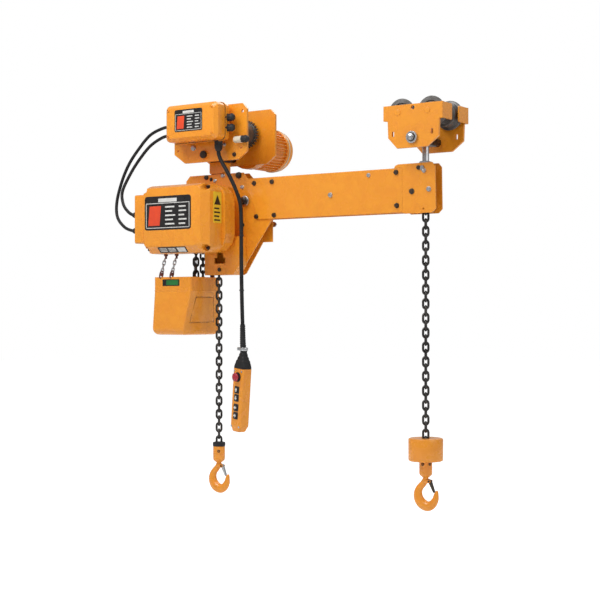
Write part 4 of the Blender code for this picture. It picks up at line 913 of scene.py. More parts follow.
class MakeBin(Operator):
    """Make the chain bin's shell, its plate and the small chains that it hangs by"""
    bl_idname = "hoist.bin"
    bl_label = "Chain bin"

    def execute(self, context):
        x0, x1, y0, y1 = BIN_LOW.x, BIN_HIGH.x, -0.130, BIN_HIGH.y
        crease, wall = -0.470, 0.003

        def ring(gap, z, bulge=0.0, taper=0.0, radius=0.006):
            outline = rounded(x0 + gap, x1 - gap, y0 + gap, y1 - gap, radius - 0.4 * gap, 8)
            points = []
            for x, y in outline:
                front, right = (y1 - y) / (y1 - y0), (x - x0) / (x1 - x0)
                points.append(Vector((x - taper * right * front, y - bulge * front, z)))
            return points

        outer = [ring(0, BIN_HIGH.z), ring(0, crease + 0.0014), ring(-0.0009, crease + 0.0004),
                 ring(-0.0009, crease - 0.0006), ring(0, crease - 0.0024)]
        outer += [ring(0, BIN_LOW.z + 0.022, 0.010, 0.022)]
        outer += [ring(0.016 * (1 - math.cos(t)), BIN_LOW.z + 0.020 * (1 - math.sin(t)),
                       0.010 - 0.002 * t, 0.022)
                  for t in (math.radians(15 * k) for k in range(1, 7))]
        inner = [ring(wall, BIN_HIGH.z), ring(wall, crease), ring(wall, BIN_LOW.z + 0.022,
                                                                0.010, 0.022),
                 ring(0.014, BIN_LOW.z + wall, 0.008, 0.022)]
        tub = Shape().add(lofted(outer[::-1] + inner))
        tub = add_piece("bin_shell", tub, "enamel", "hoist", 28)
        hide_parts("chain_container")
        green, black = Shape(), Shape()
        black.add(plate(rounded(-0.131, -0.062, -0.4545, -0.4335, 0.002), y0 - 0.0006,
                        y0 + 0.0002, bevel=0.0002))
        green.add(plate(rounded(-0.115, -0.066, -0.452, -0.436, 0.001), y0 - 0.0009,
                        y0 - 0.0004, bevel=0.0001))
        add_piece("bin_plate", black, "label_black", "hoist")
        add_piece("bin_plate_field", green, "label_green", "hoist")
        hangers, eyes = Shape(), Shape()
        for top, foot in (((-0.124, -0.1215, -0.354), (-0.139, -0.1285, -0.424)),
                          ((-0.080, -0.1215, -0.354), (-0.096, -0.1285, -0.424)),
                          ((-0.110, 0.0150, -0.345), (-0.120, 0.0185, -0.428)),
                          ((-0.050, 0.0150, -0.345), (-0.045, 0.0185, -0.428))):
            top, foot = Vector(top), Vector(foot)
            down = (foot - top).normalized()
            pose = facing(top, down)
            eyes.add(turned([(0, -0.001), (0.0065, -0.001), (0.0065, 0.004), (0.0035, 0.006),
                             (0.0035, 0.014), (0, 0.014)], sides=16), 0, facing(top, (0, 0, -1)))
            ring_line = [Vector((0.006 * math.cos(t), 0, 0.018 + 0.006 * math.sin(t)))
                         for t in (2 * math.pi * k / 16 for k in range(16))]
            hangers.add(swept(ring_line, 0.0013, 8, closed=True), 0, pose)
            length = (foot - top).length
            small = link_path(0.0128, 0.0036, 0.0115, 6)
            k, at = 1, 0.0275
            while at < length - 0.014:
                turn = Matrix.Rotation(math.pi / 2 * (k % 2), 4, "Z")
                hangers.add(swept(small, 0.0018, 7, closed=True), 0,
                            pose @ Matrix.Translation((0, 0, at)) @ turn)
                k, at = k + 1, at + 0.0126
            clip = [Vector((0.0, 0.005 * math.cos(t), length - 0.006 + 0.012 * math.sin(t)))
                    for t in (2 * math.pi * k / 18 for k in range(18))]
            eyes.add(swept(clip, 0.0024, 8, closed=True), 0, pose)
            eyes.add(turned([(0, -0.0055), (0.0042, -0.0050), (0.0058, -0.0015), (0.0058, 0.0025),
                             (0.0035, 0.0055), (0, 0.0058)], sides=16), 0,
                     pose @ Matrix.Translation((0, 0, length - 0.007)))
        add_piece("bin_hangers", hangers, "zinc", "hoist")
        add_piece("bin_eyes", eyes, "red_fitting", "hoist")
        return {"FINISHED"}


class MakeFasteners(Operator):
    """Make the bolts, nuts and washers of the trolleys, the frame and the arm"""
    bl_idname = "hoist.fasteners"
    bl_label = "Fasteners"

    def execute(self, context):
        front, rear = (0, -1, 0), (0, 1, 0)
        dark, zinc = Shape(), Shape()
        for x, z in ((0.152, -0.133), (0.220, -0.132), (0.160, -0.238), (0.228, -0.236),
                     (0.664, -0.129), (0.666, -0.226), (0.716, -0.187)):
            bolt(dark, (x, -ARM_Y, z), front, 0.0072)
            bolt(dark, (x, ARM_Y, z), rear, 0.0072, kind="nut")
        for x, z, size in ((0.436, -0.184, 0.0072), (0.570, -0.132, 0.006),
                           (0.772, -0.183, 0.0072)):
            bolt(zinc, (x, -ARM_Y, z), front, size)
            bolt(zinc, (x, ARM_Y, z), rear, size, kind="nut")
        bolt(zinc, (0.7560, -ARM_Y, -0.1290), front, 0.0062, kind="nut")
        bolt(dark, (0.7380, -ARM_Y, -0.1195), front, 0.0062)
        add_piece("arm_bolts_dark", dark, "burnished", "hoist")
        add_piece("arm_bolts_zinc", zinc, "zinc", "hoist")

        dark, zinc = Shape(), Shape()
        nut_x = (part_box("inner_sprocket")[0].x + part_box("inner_sprocket")[1].x) / 2
        nut_z = (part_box("inner_sprocket")[0].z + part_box("inner_sprocket")[1].z) / 2
        for x, z, size in ((-0.041, -0.104, 0.0075), (-0.022, -0.111, 0.0055),
                           (0.089, -0.104, 0.010), (0.104, -0.262, 0.006),
                           (0.060, -0.395, 0.0065), (-0.112, -0.330, 0.0065)):
            bolt(dark, (x, -PLATE_Y, z), front, size)
        bolt(dark, (0.041, GUIDE_LOW.y, -0.4035), front, 0.0062)
        for x, z, size in ((-0.006, -0.116, 0.006), (0.0255, -0.102, 0.0065),
                           (0.102, -0.142, 0.0062)):
            bolt(zinc, (x, -PLATE_Y, z), front, size)
        for x, z in ((-0.108, -0.122), (-0.108, -0.325), (0.075, -0.385), (0.200, -0.262),
                     (0.100, -0.120), (0.080, -0.300)):
            bolt(zinc, (x, PLATE_Y, z), rear, 0.008)
        add_piece("frame_bolts_dark", dark, "burnished", "hoist")
        add_piece("frame_bolts_zinc", zinc, "zinc", "hoist")
        caps = Shape()
        washer = Shape()
        for y, way in ((-ARM_Y - 0.002, -1), (ARM_Y + 0.002, 1)):
            pose = facing((nut_x, y, nut_z), (0, way, 0))
            washer.add(turned([(0.0105, -0.0018), (0.0165, -0.0018), (0.0165, 0.0004),
                               (0.0150, 0.0010), (0.0105, 0.0010)], closed=True), 0, pose)
            caps.add(hexagon(0.0235, 0.0008, 0.0105, 0.0012), 0, pose)
            caps.add(turned([(0, 0.002), (0.0070, 0.002), (0.0070, 0.0135), (0.0060, 0.0150),
                             (0, 0.0150)]), 0, pose)
        add_piece("guide_axle_nuts", caps, "burnished", "hoist")
        add_piece("guide_axle_washers", washer, "zinc", "hoist")

        dark, zinc = Shape(), Shape()
        bolt(zinc, (-0.044, -SIDE_Y, -0.0150), front, 0.0085)
        bolt(zinc, (0.079, -SIDE_Y, -0.0120), front, 0.0055)
        bolt(dark, (0.118, -SIDE_Y, -0.046), front, 0.0065)
        for x in (-0.065, 0.065):
            for way in (-1, 1):
                bolt(dark, (x, way * SIDE_Y, AXLE_Z), (0, way, 0), 0.0085, kind="nut")
        for x, z in ((0.145, -0.020), (-0.100, -0.022)):
            bolt(zinc, (x, SIDE_Y, z), rear, 0.007)
        collar = facing((0, -SIDE_Y, SHAFT_Z), front)
        washer = Shape().add(turned([(0, -0.0006), (0.0150, -0.0006), (0.0150, 0.0022),
                                     (0.0138, 0.0032), (0, 0.0032)]), 0, collar)
        add_piece("shaft_end_washer", washer, "enamel", "drive_trolley")
        bolt(dark, (0, -SIDE_Y - 0.0030, SHAFT_Z), front, 0.0062, washer=False)
        add_piece("trolley_bolts_dark", dark, "burnished", "drive_trolley")
        add_piece("trolley_bolts_zinc", zinc, "zinc", "drive_trolley")
        switch, nut = Shape(), Shape()
        switch.add(turned([(0, 0.128), (0.0085, 0.128), (0.0105, 0.130), (0.0105, 0.158),
                           (0, 0.158)], (-0.0920, -0.002), along, 32))
        add_piece("connector_body", switch, "cream", "drive_trolley")
        gland(nut, (0.157, -0.0920, -0.002), (1, 0, 0), 0.0110, 0.024, 0.004)
        add_piece("connector_nut", nut, "moulded", "drive_trolley")

        shape = Shape()
        for way in (-1, 1):
            bolt(shape, (FAR_X, way * (SIDE_Y + 0.0095), SHAFT_Z), (0, way, 0), 0.0095)
            pose = facing((FAR_X, way * SIDE_Y, SHAFT_Z), (0, way, 0))
            shape.add(turned([(0.0125, 0), (0.0175, 0), (0.0175, 0.007), (0.0165, 0.008),
                              (0.0125, 0.008)], closed=True), 0, pose)
        add_piece("far_shaft_nuts", shape, "zinc", "plain_trolley")
        rivets = Shape()
        for x in (-0.048, 0.048):
            for way in (-1, 1):
                pose = facing((FAR_X + x, way * SIDE_Y, AXLE_Z), (0, way, 0))
                rivets.add(turned([(0, 0), (0.0095, 0), (0.0095, 0.0008), (0.0085, 0.0016),
                                   (0, 0.0020)]), 0, pose)
        add_piece("far_axle_ends", rivets, "enamel", "plain_trolley")
        return {"FINISHED"}


class MakeWheels(Operator):
    """Make the trolleys' plain wheels with their treads, flanges and bearings"""
    bl_idname = "hoist.wheels"
    bl_label = "Wheels"

    def execute(self, context):
        names = ["drive_wheel_front_left", "drive_wheel_front_right"]
        names += [f"plain_wheel_{row}_{end}" for row in ("front", "rear")
                  for end in ("left", "right")]
        for name in names:
            low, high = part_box(name)
            side = 1 if low.y > 0 else -1
            x = (low.x + high.x) / 2
            inner, outer = sorted((abs(low.y), abs(high.y)))
            rim = (high.x - low.x) / 2
            edge = 0.052
            profile = [(0.0103, inner + 0.002), (0.017, inner + 0.002), (0.018, inner + 0.003),
                       (0.026, inner + 0.003), (0.0275, inner), (0.0335, inner),
                       (0.0350, inner + 0.0015), (0.0350, edge - 0.001), (0.0356, edge),
                       (rim - 0.002, edge + 0.0012), (rim, edge + 0.003), (rim, edge + 0.0062),
                       (rim - 0.001, edge + 0.0074), (0.030, edge + 0.0078),
                       (0.028, edge + 0.005), (0.022, edge + 0.005), (0.0205, edge + 0.008),
                       (0.0180, edge + 0.0085), (0.0175, outer), (0.0103, outer)]
            shape = Shape().add(turned([(r, side * y) for r, y in profile], (x, AXLE_Z),
                                       upright, 56, True))
            wheel = add_piece(f"{name}_turned", shape, "rolled_iron", name)
            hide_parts(name)
        return {"FINISHED"}


def turned_ring(radius, outer, count, maker, shape, pose):
    """Copies of a part placed evenly round an axis."""
    for k in range(count):
        shape.add(maker, 0, pose @ Matrix.Rotation(2 * math.pi * k / count, 4, "Z")
                  @ Matrix.Translation((radius, 0, outer)))


FIN_DEPTH = 0.0085


def finned_shell(middle, y0, y1, radius, count):
    """A motor housing: end rings and straight cooling fins round a drum."""
    shape = Shape()
    centre = (middle.x, middle.z)
    drum = radius - FIN_DEPTH
    shape.add(turned([(drum - 0.004, y0), (radius, y0), (radius, y0 + 0.011),
                      (radius - 0.001, y0 + 0.012), (drum, y0 + 0.013), (drum, y1 - 0.013),
                      (radius - 0.001, y1 - 0.012), (radius, y1 - 0.011), (radius, y1 - 0.003),
                      (radius - 0.003, y1), (drum - 0.004, y1)], centre, upright, 72, True))
    pose = Matrix.Translation((middle.x, y0, middle.z)) @ Matrix.Rotation(-math.pi / 2, 4, "X")
    length = y1 - y0
    fin = [[Vector((0, w, z)), Vector((radius - drum - 0.0004, t, z)),
            Vector((radius - drum - 0.0004, -t, z)), Vector((0, -w, z))]
           for z in (0.008, length - 0.008) for w, t in ((0.0016, 0.0009),)]
    turned_ring(drum - 0.0006, 0, count, lofted(fin), shape, pose)
    return shape


class MakeMotors(Operator):
    """Make the finned motors, the fan's hood and the gear cases' screws"""
    bl_idname = "hoist.motors"
    bl_label = "Motors"

    def execute(self, context):
        scene = context.scene
        low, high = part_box("motor_housing")
        fins = scene.hoist_sizes.motor_fins
        radius = (high.x - low.x) / 2
        shape = finned_shell(SHEAVE, low.y, high.y, radius, fins)
        shape.add(turned([(0, high.y - 0.004), (radius - 0.010, high.y - 0.004),
                          (radius - 0.010, high.y), (0, high.y)],
                         (SHEAVE.x, SHEAVE.z), upright, 48))
        motor = add_piece("motor_shell", shape, "enamel", "hoist")
        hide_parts("motor_housing")
        box = Shape().add(plate(rounded(SHEAVE.x - 0.034, SHEAVE.x + 0.034, 0.050, 0.125,
                                        0.008, 5), SHEAVE.z + radius - 0.012,
                                SHEAVE.z + radius + 0.018, level, 0.003))
        add_piece("motor_terminal_box", box, "enamel", "hoist")
        screws = Shape()
        for x in (-0.026, 0.026):
            for y in (0.058, 0.117):
                bolt(screws, (SHEAVE.x + x, y, SHEAVE.z + radius + 0.018), (0, 0, 1), 0.004,
                     kind="cap")
        for k in range(6):
            turn = math.pi * (k + 0.5) / 3
            bolt(screws, (SHEAVE.x + (radius - 0.006) * math.cos(turn), high.y,
                          SHEAVE.z + (radius - 0.006) * math.sin(turn)), (0, 1, 0), 0.0035,
                 washer=False)
        low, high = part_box("fan_cover")
        radius = (high.x - low.x) / 2
        centre = (SHEAVE.x, SHEAVE.z)
        hood = Shape().add(turned([
            (radius - 0.0022, low.y), (radius, low.y), (radius, high.y - 0.014),
            (radius - 0.002, high.y - 0.007), (radius - 0.007, high.y - 0.002),
            (radius - 0.014, high.y), (0.066, high.y), (0.066, high.y - 0.002),
            (radius - 0.014, high.y - 0.0022), (radius - 0.008, high.y - 0.005),
            (radius - 0.0022, high.y - 0.014)], centre, upright, 72, True))
        for reach in (0.058, 0.048, 0.038, 0.028):
            hood.add(turned([(reach - 0.0026, high.y - 0.0022), (reach + 0.0026,
                             high.y - 0.0022), (reach + 0.0020, high.y - 0.0002),
                             (reach - 0.0020, high.y - 0.0002)], centre, upright, 60, True))
        hood.add(turned([(0, high.y - 0.0022), (0.020, high.y - 0.0022), (0.020, high.y),
                         (0, high.y)], centre, upright, 40))
        spoke = plate([(-0.0315, -0.0022), (0.0165, -0.0022), (0.0165, 0.0022),
                       (-0.0315, 0.0022)], 0, 0.0021, level, 0.0003)
        pose = Matrix.Translation((SHEAVE.x, high.y - 0.0023, SHEAVE.z)) @ Matrix.Rotation(
            -math.pi / 2, 4, "X")
        turned_ring(0.0505, 0, 6, spoke, hood, pose)
        hood = add_piece("fan_hood", hood, "moulded", "hoist")
        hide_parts("fan_cover")

        low, high = TRAVEL_LOW, TRAVEL_HIGH
        radius = (high.x - low.x) / 2
        shape = finned_shell(TRAVEL, low.y, high.y - 0.030, radius, 36)
        centre = (TRAVEL.x, TRAVEL.z)
        shape.add(turned([(0, high.y - 0.034), (radius - 0.004, high.y - 0.034),
                          (radius - 0.002, high.y - 0.028), (radius - 0.002, high.y - 0.013),
                          (radius - 0.006, high.y - 0.004), (radius - 0.013, high.y),
                          (0, high.y)], centre, upright, 64))
        travel = add_piece("travel_motor_shell", shape, "enamel", "drive_trolley")
        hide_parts("trolley_motor_housing")
        shape = Shape().add(plate(rounded(TRAVEL.x - 0.032, TRAVEL.x + 0.032, low.y + 0.030,
                                          low.y + 0.095, 0.008, 5),
                                  TRAVEL.z + radius - 0.012, TRAVEL.z + radius + 0.016, level,
                                  0.003))
        add_piece("travel_terminal_box", shape, "enamel", "drive_trolley")
        for k in range(4):
            turn = math.pi * (k + 0.5) / 2
            bolt(screws, (TRAVEL.x + (radius - 0.022) * math.cos(turn), high.y,
                          TRAVEL.z + (radius - 0.022) * math.sin(turn)), (0, 1, 0), 0.004,
                 washer=False)
        strip = Shape().add(turned([(radius - 0.0005, high.y - 0.033), (radius + 0.0012,
                                    high.y - 0.033), (radius + 0.0012, high.y - 0.029),
                                    (radius - 0.0005, high.y - 0.029)], centre, upright, 64,
                                   True))
        add_piece("travel_motor_seal", strip, "cream", "drive_trolley")
        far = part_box("trolley_gear_case")[1]
        travel_bolts = Shape()
        for k in range(7):
            turn = math.radians(200 + 32 * k)
            reach = 0.052
            travel_bolts.add(hexagon(0.0085, 0, 0.005), 0, facing(
                (reach * math.cos(turn), far.y - 0.0004, AXLE_Z + reach * math.sin(turn)),
                (0, 1, 0)))
        add_piece("travel_case_bolts", travel_bolts, "zinc", "drive_trolley")
        panel_screws = Shape()
        x0, z0, z1 = COVER_LOW.x + GLAND_BOX, COVER_LOW.z, COVER_HIGH.z
        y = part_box("gear_case_panel")[1].y
        for x in (x0 + 0.020, x0 + 0.040):
            for z in (z0 + 0.030, (z0 + z1) / 2, z1 - 0.030):
                bolt(panel_screws, (x, y, z), (0, 1, 0), 0.005)
        add_piece("panel_screws", panel_screws, "burnished", "hoist")
        add_piece("motor_screws", screws, "zinc", "hoist")
        return {"FINISHED"}


class MakeHooks(Operator):
    """Make the two hook blocks with their caps, the forged hooks and the latch springs"""
    bl_idname = "hoist.hooks"
    bl_label = "Hooks"

    def execute(self, context):
        route = [(0, 0, 0.012, 0.0080), (0, 0, 0.000, 0.0080), (-0.001, 0, -0.010, 0.0088),
                 (-0.008, 0, -0.022, 0.0095), (-0.019, 0, -0.034, 0.0105),
                 (-0.025, 0, -0.049, 0.0125), (-0.023, 0, -0.066, 0.0145),
                 (-0.011, 0, -0.081, 0.0155), (0.006, 0, -0.087, 0.0145),
                 (0.021, 0, -0.081, 0.0125), (0.031, 0, -0.067, 0.0100),
                 (0.0345, 0, -0.051, 0.0070), (0.0365, 0, -0.042, 0.0040),
                 (0.0368, 0, -0.0395, 0.0012)]
        for side, at in (("left", LEFT_CHAIN), ("right", RIGHT_CHAIN)):
            place = Matrix.Translation((at.x, at.y, HOOK_Z))
            line = smooth(route, 0.0035)
            shape = Shape().add(swept([Vector(p[:3]) for p in line], [p[3] for p in line], 26,
                                      0.86), 0, place)
            shape.add(turned([(0, -0.003), (0.0105, -0.003), (0.0125, -0.001), (0.0125, 0.001),
                              (0, 0.001)], sides=36), 0, place)
            for way in (-1, 1):
                y0, y1 = sorted((way * 0.0045, way * 0.0078))
                ear = [(-0.004, -0.016), (-0.002, -0.006), (0.010, -0.0095), (0.0175, -0.0105),
                       (0.0190, -0.0140), (0.0165, -0.0185), (0.010, -0.0190),
                       (0.002, -0.022)][::-1]
                shape.add(plate(ear, y0, y1, upright, 0.0008), 0, place)
            hook = add_piece(f"{side}_hook_forged", shape, "enamel", f"{side}_hook", 50)
            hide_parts(f"{side}_hook")
            pin = Shape().add(turned([(0, -0.0098), (0.0026, -0.0098), (0.0032, -0.0090),
                                      (0.0032, 0.0090), (0.0026, 0.0098), (0, 0.0098)],
                                     (0.014, -0.014), upright, 20), 0, place)
            add_piece(f"{side}_latch_pin", pin, "burnished", f"{side}_hook")
            coil = [Vector((0.014 + 0.0040 * math.cos(t), -0.0040 + 0.0080 * t / (8 * math.pi),
                            -0.014 + 0.0040 * math.sin(t)))
                    for t in (8 * math.pi * k / 80 for k in range(81))]
            spring = Shape().add(swept(coil, 0.0005, 6), 0, place)
            add_piece(f"{side}_latch_spring", spring, "zinc", f"{side}_hook")
            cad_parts[f"{side}_latch"].data.materials[0] = material(
                "zinc" if side == "left" else "burnished")
            self.block(side, at)
        return {"FINISHED"}

    def block(self, side, at):
        """The block over a hook, in its two halves."""
        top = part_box(f"{side}_hook_block")[1].z
        centre = (at.x, at.y)
        drum = side == "right"
        neck = top - (0.066 if drum else 0.014)
        r = 0.019
        body = Shape()
        body.add(turned([(0, neck + 0.001), (r - 0.0015, neck + 0.001), (r, neck - 0.001),
                         (r, HOOK_Z + 0.008), (r - 0.0010, HOOK_Z + 0.0045),
                         (r - 0.0035, HOOK_Z + 0.0012), (r - 0.007, HOOK_Z), (0.009, HOOK_Z),
                         (0.009, HOOK_Z + 0.004), (0, HOOK_Z + 0.004)], centre, level, 48))
        seam = Shape().add(turned([(r - 0.001, HOOK_Z + 0.0235), (r + 0.0006, HOOK_Z + 0.0238),
                                   (r + 0.0006, HOOK_Z + 0.0248), (r - 0.001, HOOK_Z + 0.025)],
                                  centre, level, 48, True))
        holder = add_piece(f"{side}_block_body", body, "enamel", f"{side}_hook_block")
        add_piece(f"{side}_block_seam", seam, "enamel", f"{side}_hook_block")
        cap_r = 0.0505 if drum else 0.020
        soft = 0.004 if drum else 0.003
        mouth = 0.0135
        cap = Shape().add(turned([
            (mouth, top - 0.004), (mouth, top - 0.0005), (mouth + 0.0008, top),
            (cap_r - soft, top), (cap_r - soft * 0.3, top - soft * 0.3), (cap_r, top - soft),
            (cap_r, neck + soft), (cap_r - soft * 0.3, neck + soft * 0.3),
            (cap_r - soft, neck), (0.008, neck), (0.008, top - 0.030 if drum else neck + 0.002),
            (mouth, top - 0.030 if drum else neck + 0.003)], centre, level, 64, True))
        cap = add_piece(f"{side}_block_cap", cap, "enamel" if drum else "moulded",
                        f"{side}_hook_block")
        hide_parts(f"{side}_hook_block")
        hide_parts(f"{side}_hook_block")
        bolts = Shape()
        z = neck - (0.008 if drum else 0.014)
        for spread in ((-0.58, 0.58, math.pi - 0.58, math.pi + 0.58) if drum else (0, math.pi)):
            way = Vector((math.sin(CHAIN_TURN + spread), -math.cos(CHAIN_TURN + spread), 0))
            bolt(bolts, Vector((at.x, at.y, z)) + way * (r - 0.0035), way, 0.0058,
                 washer=False, kind="cap")
        add_piece(f"{side}_block_bolts", bolts, "burnished", f"{side}_hook_block")


def framed_hole(half, hole, low, high, place):
    """A square bezel with a round hole through it."""
    outline = rounded(-half, half, -half, half, half * 0.25, 5)
    ring = [(hole * u / math.hypot(u, v), hole * v / math.hypot(u, v)) for u, v in outline]
    small = inset(outline, 0.0006)
    rows = [(outline, low), (outline, high - 0.0006), (small, high), (ring, high), (ring, low)]
    return lofted([[place @ Vector((u, v, z)) for u, v in row] for row, z in rows], closed=True)


class MakePendant(Operator):
    """Make the handset's bezels, symbols, stop knob, ribbed boot and clamp"""
    bl_idname = "hoist.pendant"
    bl_label = "Pendant"

    def execute(self, context):
        front = -0.018
        face = HANDSET @ Matrix.Translation((0, front, 0)) @ Matrix.Rotation(
            math.pi / 2, 4, "X")
        bezels = Shape()
        for z in (-0.066, -0.091, -0.121, -0.146):
            bezels.add(framed_hole(0.0112, 0.00790, -0.0004, 0.0014,
                                   face @ Matrix.Translation((0, z, 0))))
        add_piece("pendant_bezels", bezels, "moulded", "drive_trolley")
        arrow = [(0.0, 0.0052), (-0.0048, -0.0002), (-0.0018, -0.0002), (-0.0018, -0.0048),
                 (0.0018, -0.0048), (0.0018, -0.0002), (0.0048, -0.0002)]
        for name, z, turn in (("up", -0.066, 0), ("down", -0.091, 180), ("left", -0.121, 90),
                              ("right", -0.146, -90)):
            pose = face @ Matrix.Translation((0, z, 0.0040)) @ Matrix.Rotation(
                math.radians(turn), 4, "Z") @ Matrix.Diagonal((1.25, 1.25, 1, 1))
            sign = Shape().add(plate(arrow, -0.0003, 0.0006, level, 0.0001), 0, pose)
            add_piece(f"{name}_symbol", sign, "label_white", f"{name}_button")
        knob_z = -0.026
        pose = face @ Matrix.Translation((0, knob_z, 0))
        knob = Shape().add(turned([
            (0, 0.0158), (0.005, 0.0156), (0.0095, 0.0146), (0.0120, 0.0128), (0.0130, 0.0104),
            (0.0130, 0.0086), (0.0122, 0.0078), (0.0066, 0.0072), (0.0062, -0.002),
            (0, -0.002)], sides=48), 0, pose)
        for k in range(10):
            turn = Matrix.Rotation(2 * math.pi * k / 10, 4, "Z")
            knob.add(turned([(0, 0.0086), (0.0016, 0.0086), (0.0016, 0.0118), (0.0006, 0.0128),
                             (0, 0.0128)], sides=8), 0,
                     pose @ turn @ Matrix.Translation((0.0124, 0, 0)))
        knob = add_piece("stop_knob", knob, "knob_red", "emergency_stop")
        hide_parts("emergency_stop")
        ring = Shape().add(turned([(0.0068, -0.0003), (0.0150, -0.0003), (0.0146, 0.0016),
                                   (0.0075, 0.0022), (0.0068, 0.0022)], sides=40,
                                  closed=True), 0, pose)
        add_piece("stop_collar", ring, "moulded", "drive_trolley")
        plain = Shape()
        for u in (-0.021, 0.021):
            for v in (-0.008, -0.180):
                pose_screw = face @ Matrix.Translation((u * 0.86, v, 0))
                plain.add(turned([(0, -0.0005), (0.0030, -0.0005), (0.0030, 0.0008),
                                  (0.0022, 0.0014), (0.0006, 0.0006), (0, 0.0006)], sides=16),
                          0, pose_screw)
        add_piece("pendant_screws", plain, "zinc", "drive_trolley")
        half_w, half_d = 0.025, 0.018
        rings = []
        steps = 22
        for k in range(steps + 1):
            share = k / steps
            z = 0.0003 + 0.058 * share
            ease = share * share * (3 - 2 * share)
            rib = 0.0010 if (k % 4 < 2 and share > 0.25) else 0.0
            w = half_w * (1 - 0.62 * ease) + rib - (0.0 if share > 0.02 else 0.0004)
            d = half_d * (1 - 0.46 * ease) + rib - (0.0 if share > 0.02 else 0.0004)
            corner = min(w, d) * (0.36 + 0.6 * ease)
            rings.append([HANDSET @ Vector((u, v, z))
                          for u, v in rounded(-w, w, -d, d, corner, 6)])
        boot = Shape().add(lofted(rings))
        path = smooth([HANDSET @ Vector((0, 0, 0.050)), Vector((0.1580, -0.090, -0.630)),
                       Vector((0.1570, -0.090, -0.5757))], 0.0022)
        radii = []
        for k in range(len(path)):
            share = k / (len(path) - 1)
            radii.append(0.0100 - 0.0018 * share - (0.0011 if k % 3 == 0 else 0.0))
        boot.add(swept(path, radii, 28))
        boot = add_piece("pendant_boot_ribbed", boot, "rubber", "drive_trolley")
        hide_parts("pendant_boot")
        clip = Shape()
        at = HANDSET @ Vector((-0.010, 0, 0.060))
        clip.add(turned([(0.0088, -0.005), (0.0125, -0.005), (0.0130, -0.004), (0.0130, 0.004),
                         (0.0125, 0.005), (0.0088, 0.005)], sides=32, closed=True), 0,
                 Matrix.Translation(HANDSET @ Vector((0, 0, 0.060))))
        clip.add(plate(rounded(-0.009, 0.003, -0.005, 0.005, 0.001), -0.004, 0.004, upright,
                       0.0006), 0, Matrix.Translation(at + Vector((-0.006, 0, 0))))
        bolt(clip, at + Vector((-0.011, -0.004, 0)), (0, -1, 0), 0.0035, washer=False)
        add_piece("pendant_clamp", clip, "zinc", "drive_trolley")
        tie = Shape()
        for z in (-0.300, -0.470):
            tie.add(turned([(0.0061, -0.0022), (0.0074, -0.0022), (0.0074, 0.0022),
                            (0.0061, 0.0022)], sides=32, closed=True), 0,
                    Matrix.Translation((0.152 if z > -0.4 else 0.1535, -0.090, z)))
        add_piece("cord_ties", tie, "moulded", "drive_trolley")
        return {"FINISHED"}


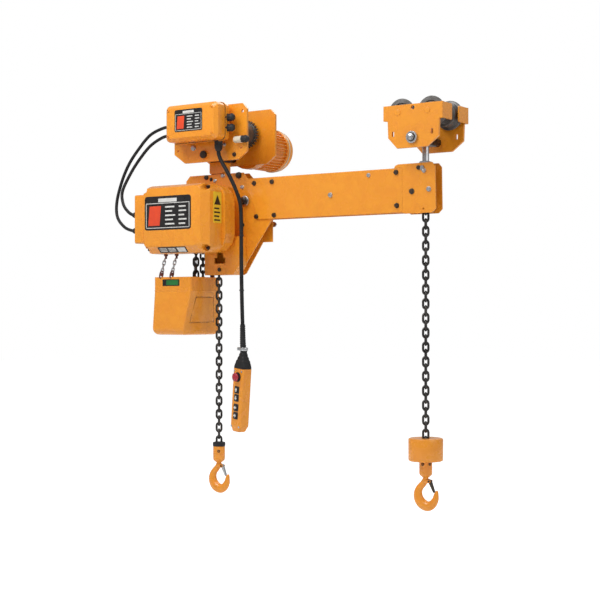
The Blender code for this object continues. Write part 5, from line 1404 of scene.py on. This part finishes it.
# ---------------------------------------------------------------- stage
class MakeStage(Operator):
    """Make the pale floor, the soft lights, the white surroundings and the camera"""
    bl_idname = "hoist.stage"
    bl_label = "Stage"

    def execute(self, context):
        scene = context.scene
        setup = scene.hoist_stage
        middle = (Vector(CAD_BOX[0]) + Vector(CAD_BOX[1])) / 2
        floor_z = CAD_BOX[0][2] - 0.10
        disc = Shape().add(turned([(0, floor_z - 0.01), (14, floor_z - 0.01), (14, floor_z),
                                   (0, floor_z)], (middle.x, middle.y), level, 96))
        pale = bpy.data.materials.new("pale_floor")
        pale.use_nodes = True
        shader = pale.node_tree.nodes["Principled BSDF"]
        shader.inputs["Base Color"].default_value = (0.86, 0.86, 0.86, 1.0)
        shader.inputs["Roughness"].default_value = 0.7
        shader.inputs["Emission Color"].default_value = (1.0, 1.0, 1.0, 1.0)
        seen = node(pale.node_tree, "ShaderNodeLightPath").outputs["Is Camera Ray"]
        glow = node(pale.node_tree, "ShaderNodeMapRange", {"Value": seen, "To Min": 0.10,
                                                           "To Max": 0.66})
        pale.node_tree.links.new(glow.outputs[0], shader.inputs["Emission Strength"])
        floor = add_piece("floor", disc, "pale_floor", None)
        world = bpy.data.worlds.new("white_surroundings")
        world.use_nodes = True
        tree = world.node_tree
        seen = node(tree, "ShaderNodeLightPath").outputs["Is Camera Ray"]
        power = node(tree, "ShaderNodeMapRange", {"Value": seen, "To Min": setup.sky,
                                                  "To Max": 1.0})
        tree.nodes["Background"].inputs["Color"].default_value = (1, 1, 1, 1)
        tree.links.new(power.outputs[0], tree.nodes["Background"].inputs["Strength"])
        scene.world = world
        scene.view_settings.view_transform = "Standard"
        azimuth = setup.azimuth
        for name, turn, rise, reach, size, power in (
                ("key_light", -0.75, 0.85, 2.6, 1.8, setup.key),
                ("fill_light", 0.85, 0.35, 3.0, 2.0, setup.key * 0.25),
                ("rim_light", 2.6, 1.0, 2.8, 1.6, setup.key * 0.5)):
            angle = azimuth + turn
            back = Vector((math.sin(angle) * math.cos(rise), -math.cos(angle) * math.cos(rise),
                           math.sin(rise)))
            lamp = bpy.data.lights.new(name, "AREA")
            lamp.energy, lamp.size, lamp.shape = power, size, "DISK"
            light = bpy.data.objects.new(name, lamp)
            light.location = middle + back * reach
            light.rotation_mode = "QUATERNION"
            light.rotation_quaternion = (-back).to_track_quat("-Z", "Y")
            scene.collection.objects.link(light)
        lens = bpy.data.cameras.new("camera")
        lens.lens, lens.sensor_width = setup.lens, 36.0
        lens.shift_y = 10 / 600
        camera = bpy.data.objects.new("camera", lens)
        camera.location = setup.camera
        camera.rotation_euler = (math.pi / 2, 0, azimuth)
        scene.collection.objects.link(camera)
        scene.camera = camera
        return {"FINISHED"}


STEPS = (MakeFinishes, MakeStage, MakeCords, MakeControlBox, MakeHoistCover, MakeBin,
         MakeFasteners, MakeWheels, MakeMotors, MakeChains, MakeHooks, MakePendant)
SETTINGS = (HoistColours, HoistSizes, HoistStage)


class HoistPanel(Panel):
    """The steps that dress the hoist, in the 3D view's sidebar"""
    bl_idname = "VIEW3D_PT_chain_hoist"
    bl_label = "Chain Hoist"
    bl_space_type = "VIEW_3D"
    bl_region_type = "UI"
    bl_category = "Chain Hoist"

    def draw(self, context):
        column = self.layout.column()
        for step in STEPS:
            column.operator(step.bl_idname)
        for settings in (context.scene.hoist_colours, context.scene.hoist_sizes,
                         context.scene.hoist_stage):
            for name in settings.bl_rna.properties.keys():
                if name not in ("rna_type", "name"):
                    column.prop(settings, name)


def register():
    for item in (*SETTINGS, *STEPS, HoistPanel):
        bpy.utils.register_class(item)
    bpy.types.Scene.hoist_colours = PointerProperty(type=HoistColours)
    bpy.types.Scene.hoist_sizes = PointerProperty(type=HoistSizes)
    bpy.types.Scene.hoist_stage = PointerProperty(type=HoistStage)


def unregister():
    del bpy.types.Scene.hoist_stage, bpy.types.Scene.hoist_sizes, bpy.types.Scene.hoist_colours
    for item in (HoistPanel, *reversed(STEPS), *reversed(SETTINGS)):
        bpy.utils.unregister_class(item)


def main():
    register()
    for step in STEPS:
        area, name = step.bl_idname.split(".")
        getattr(getattr(bpy.ops, area), name)()


if __name__ == "__main__":
    main()
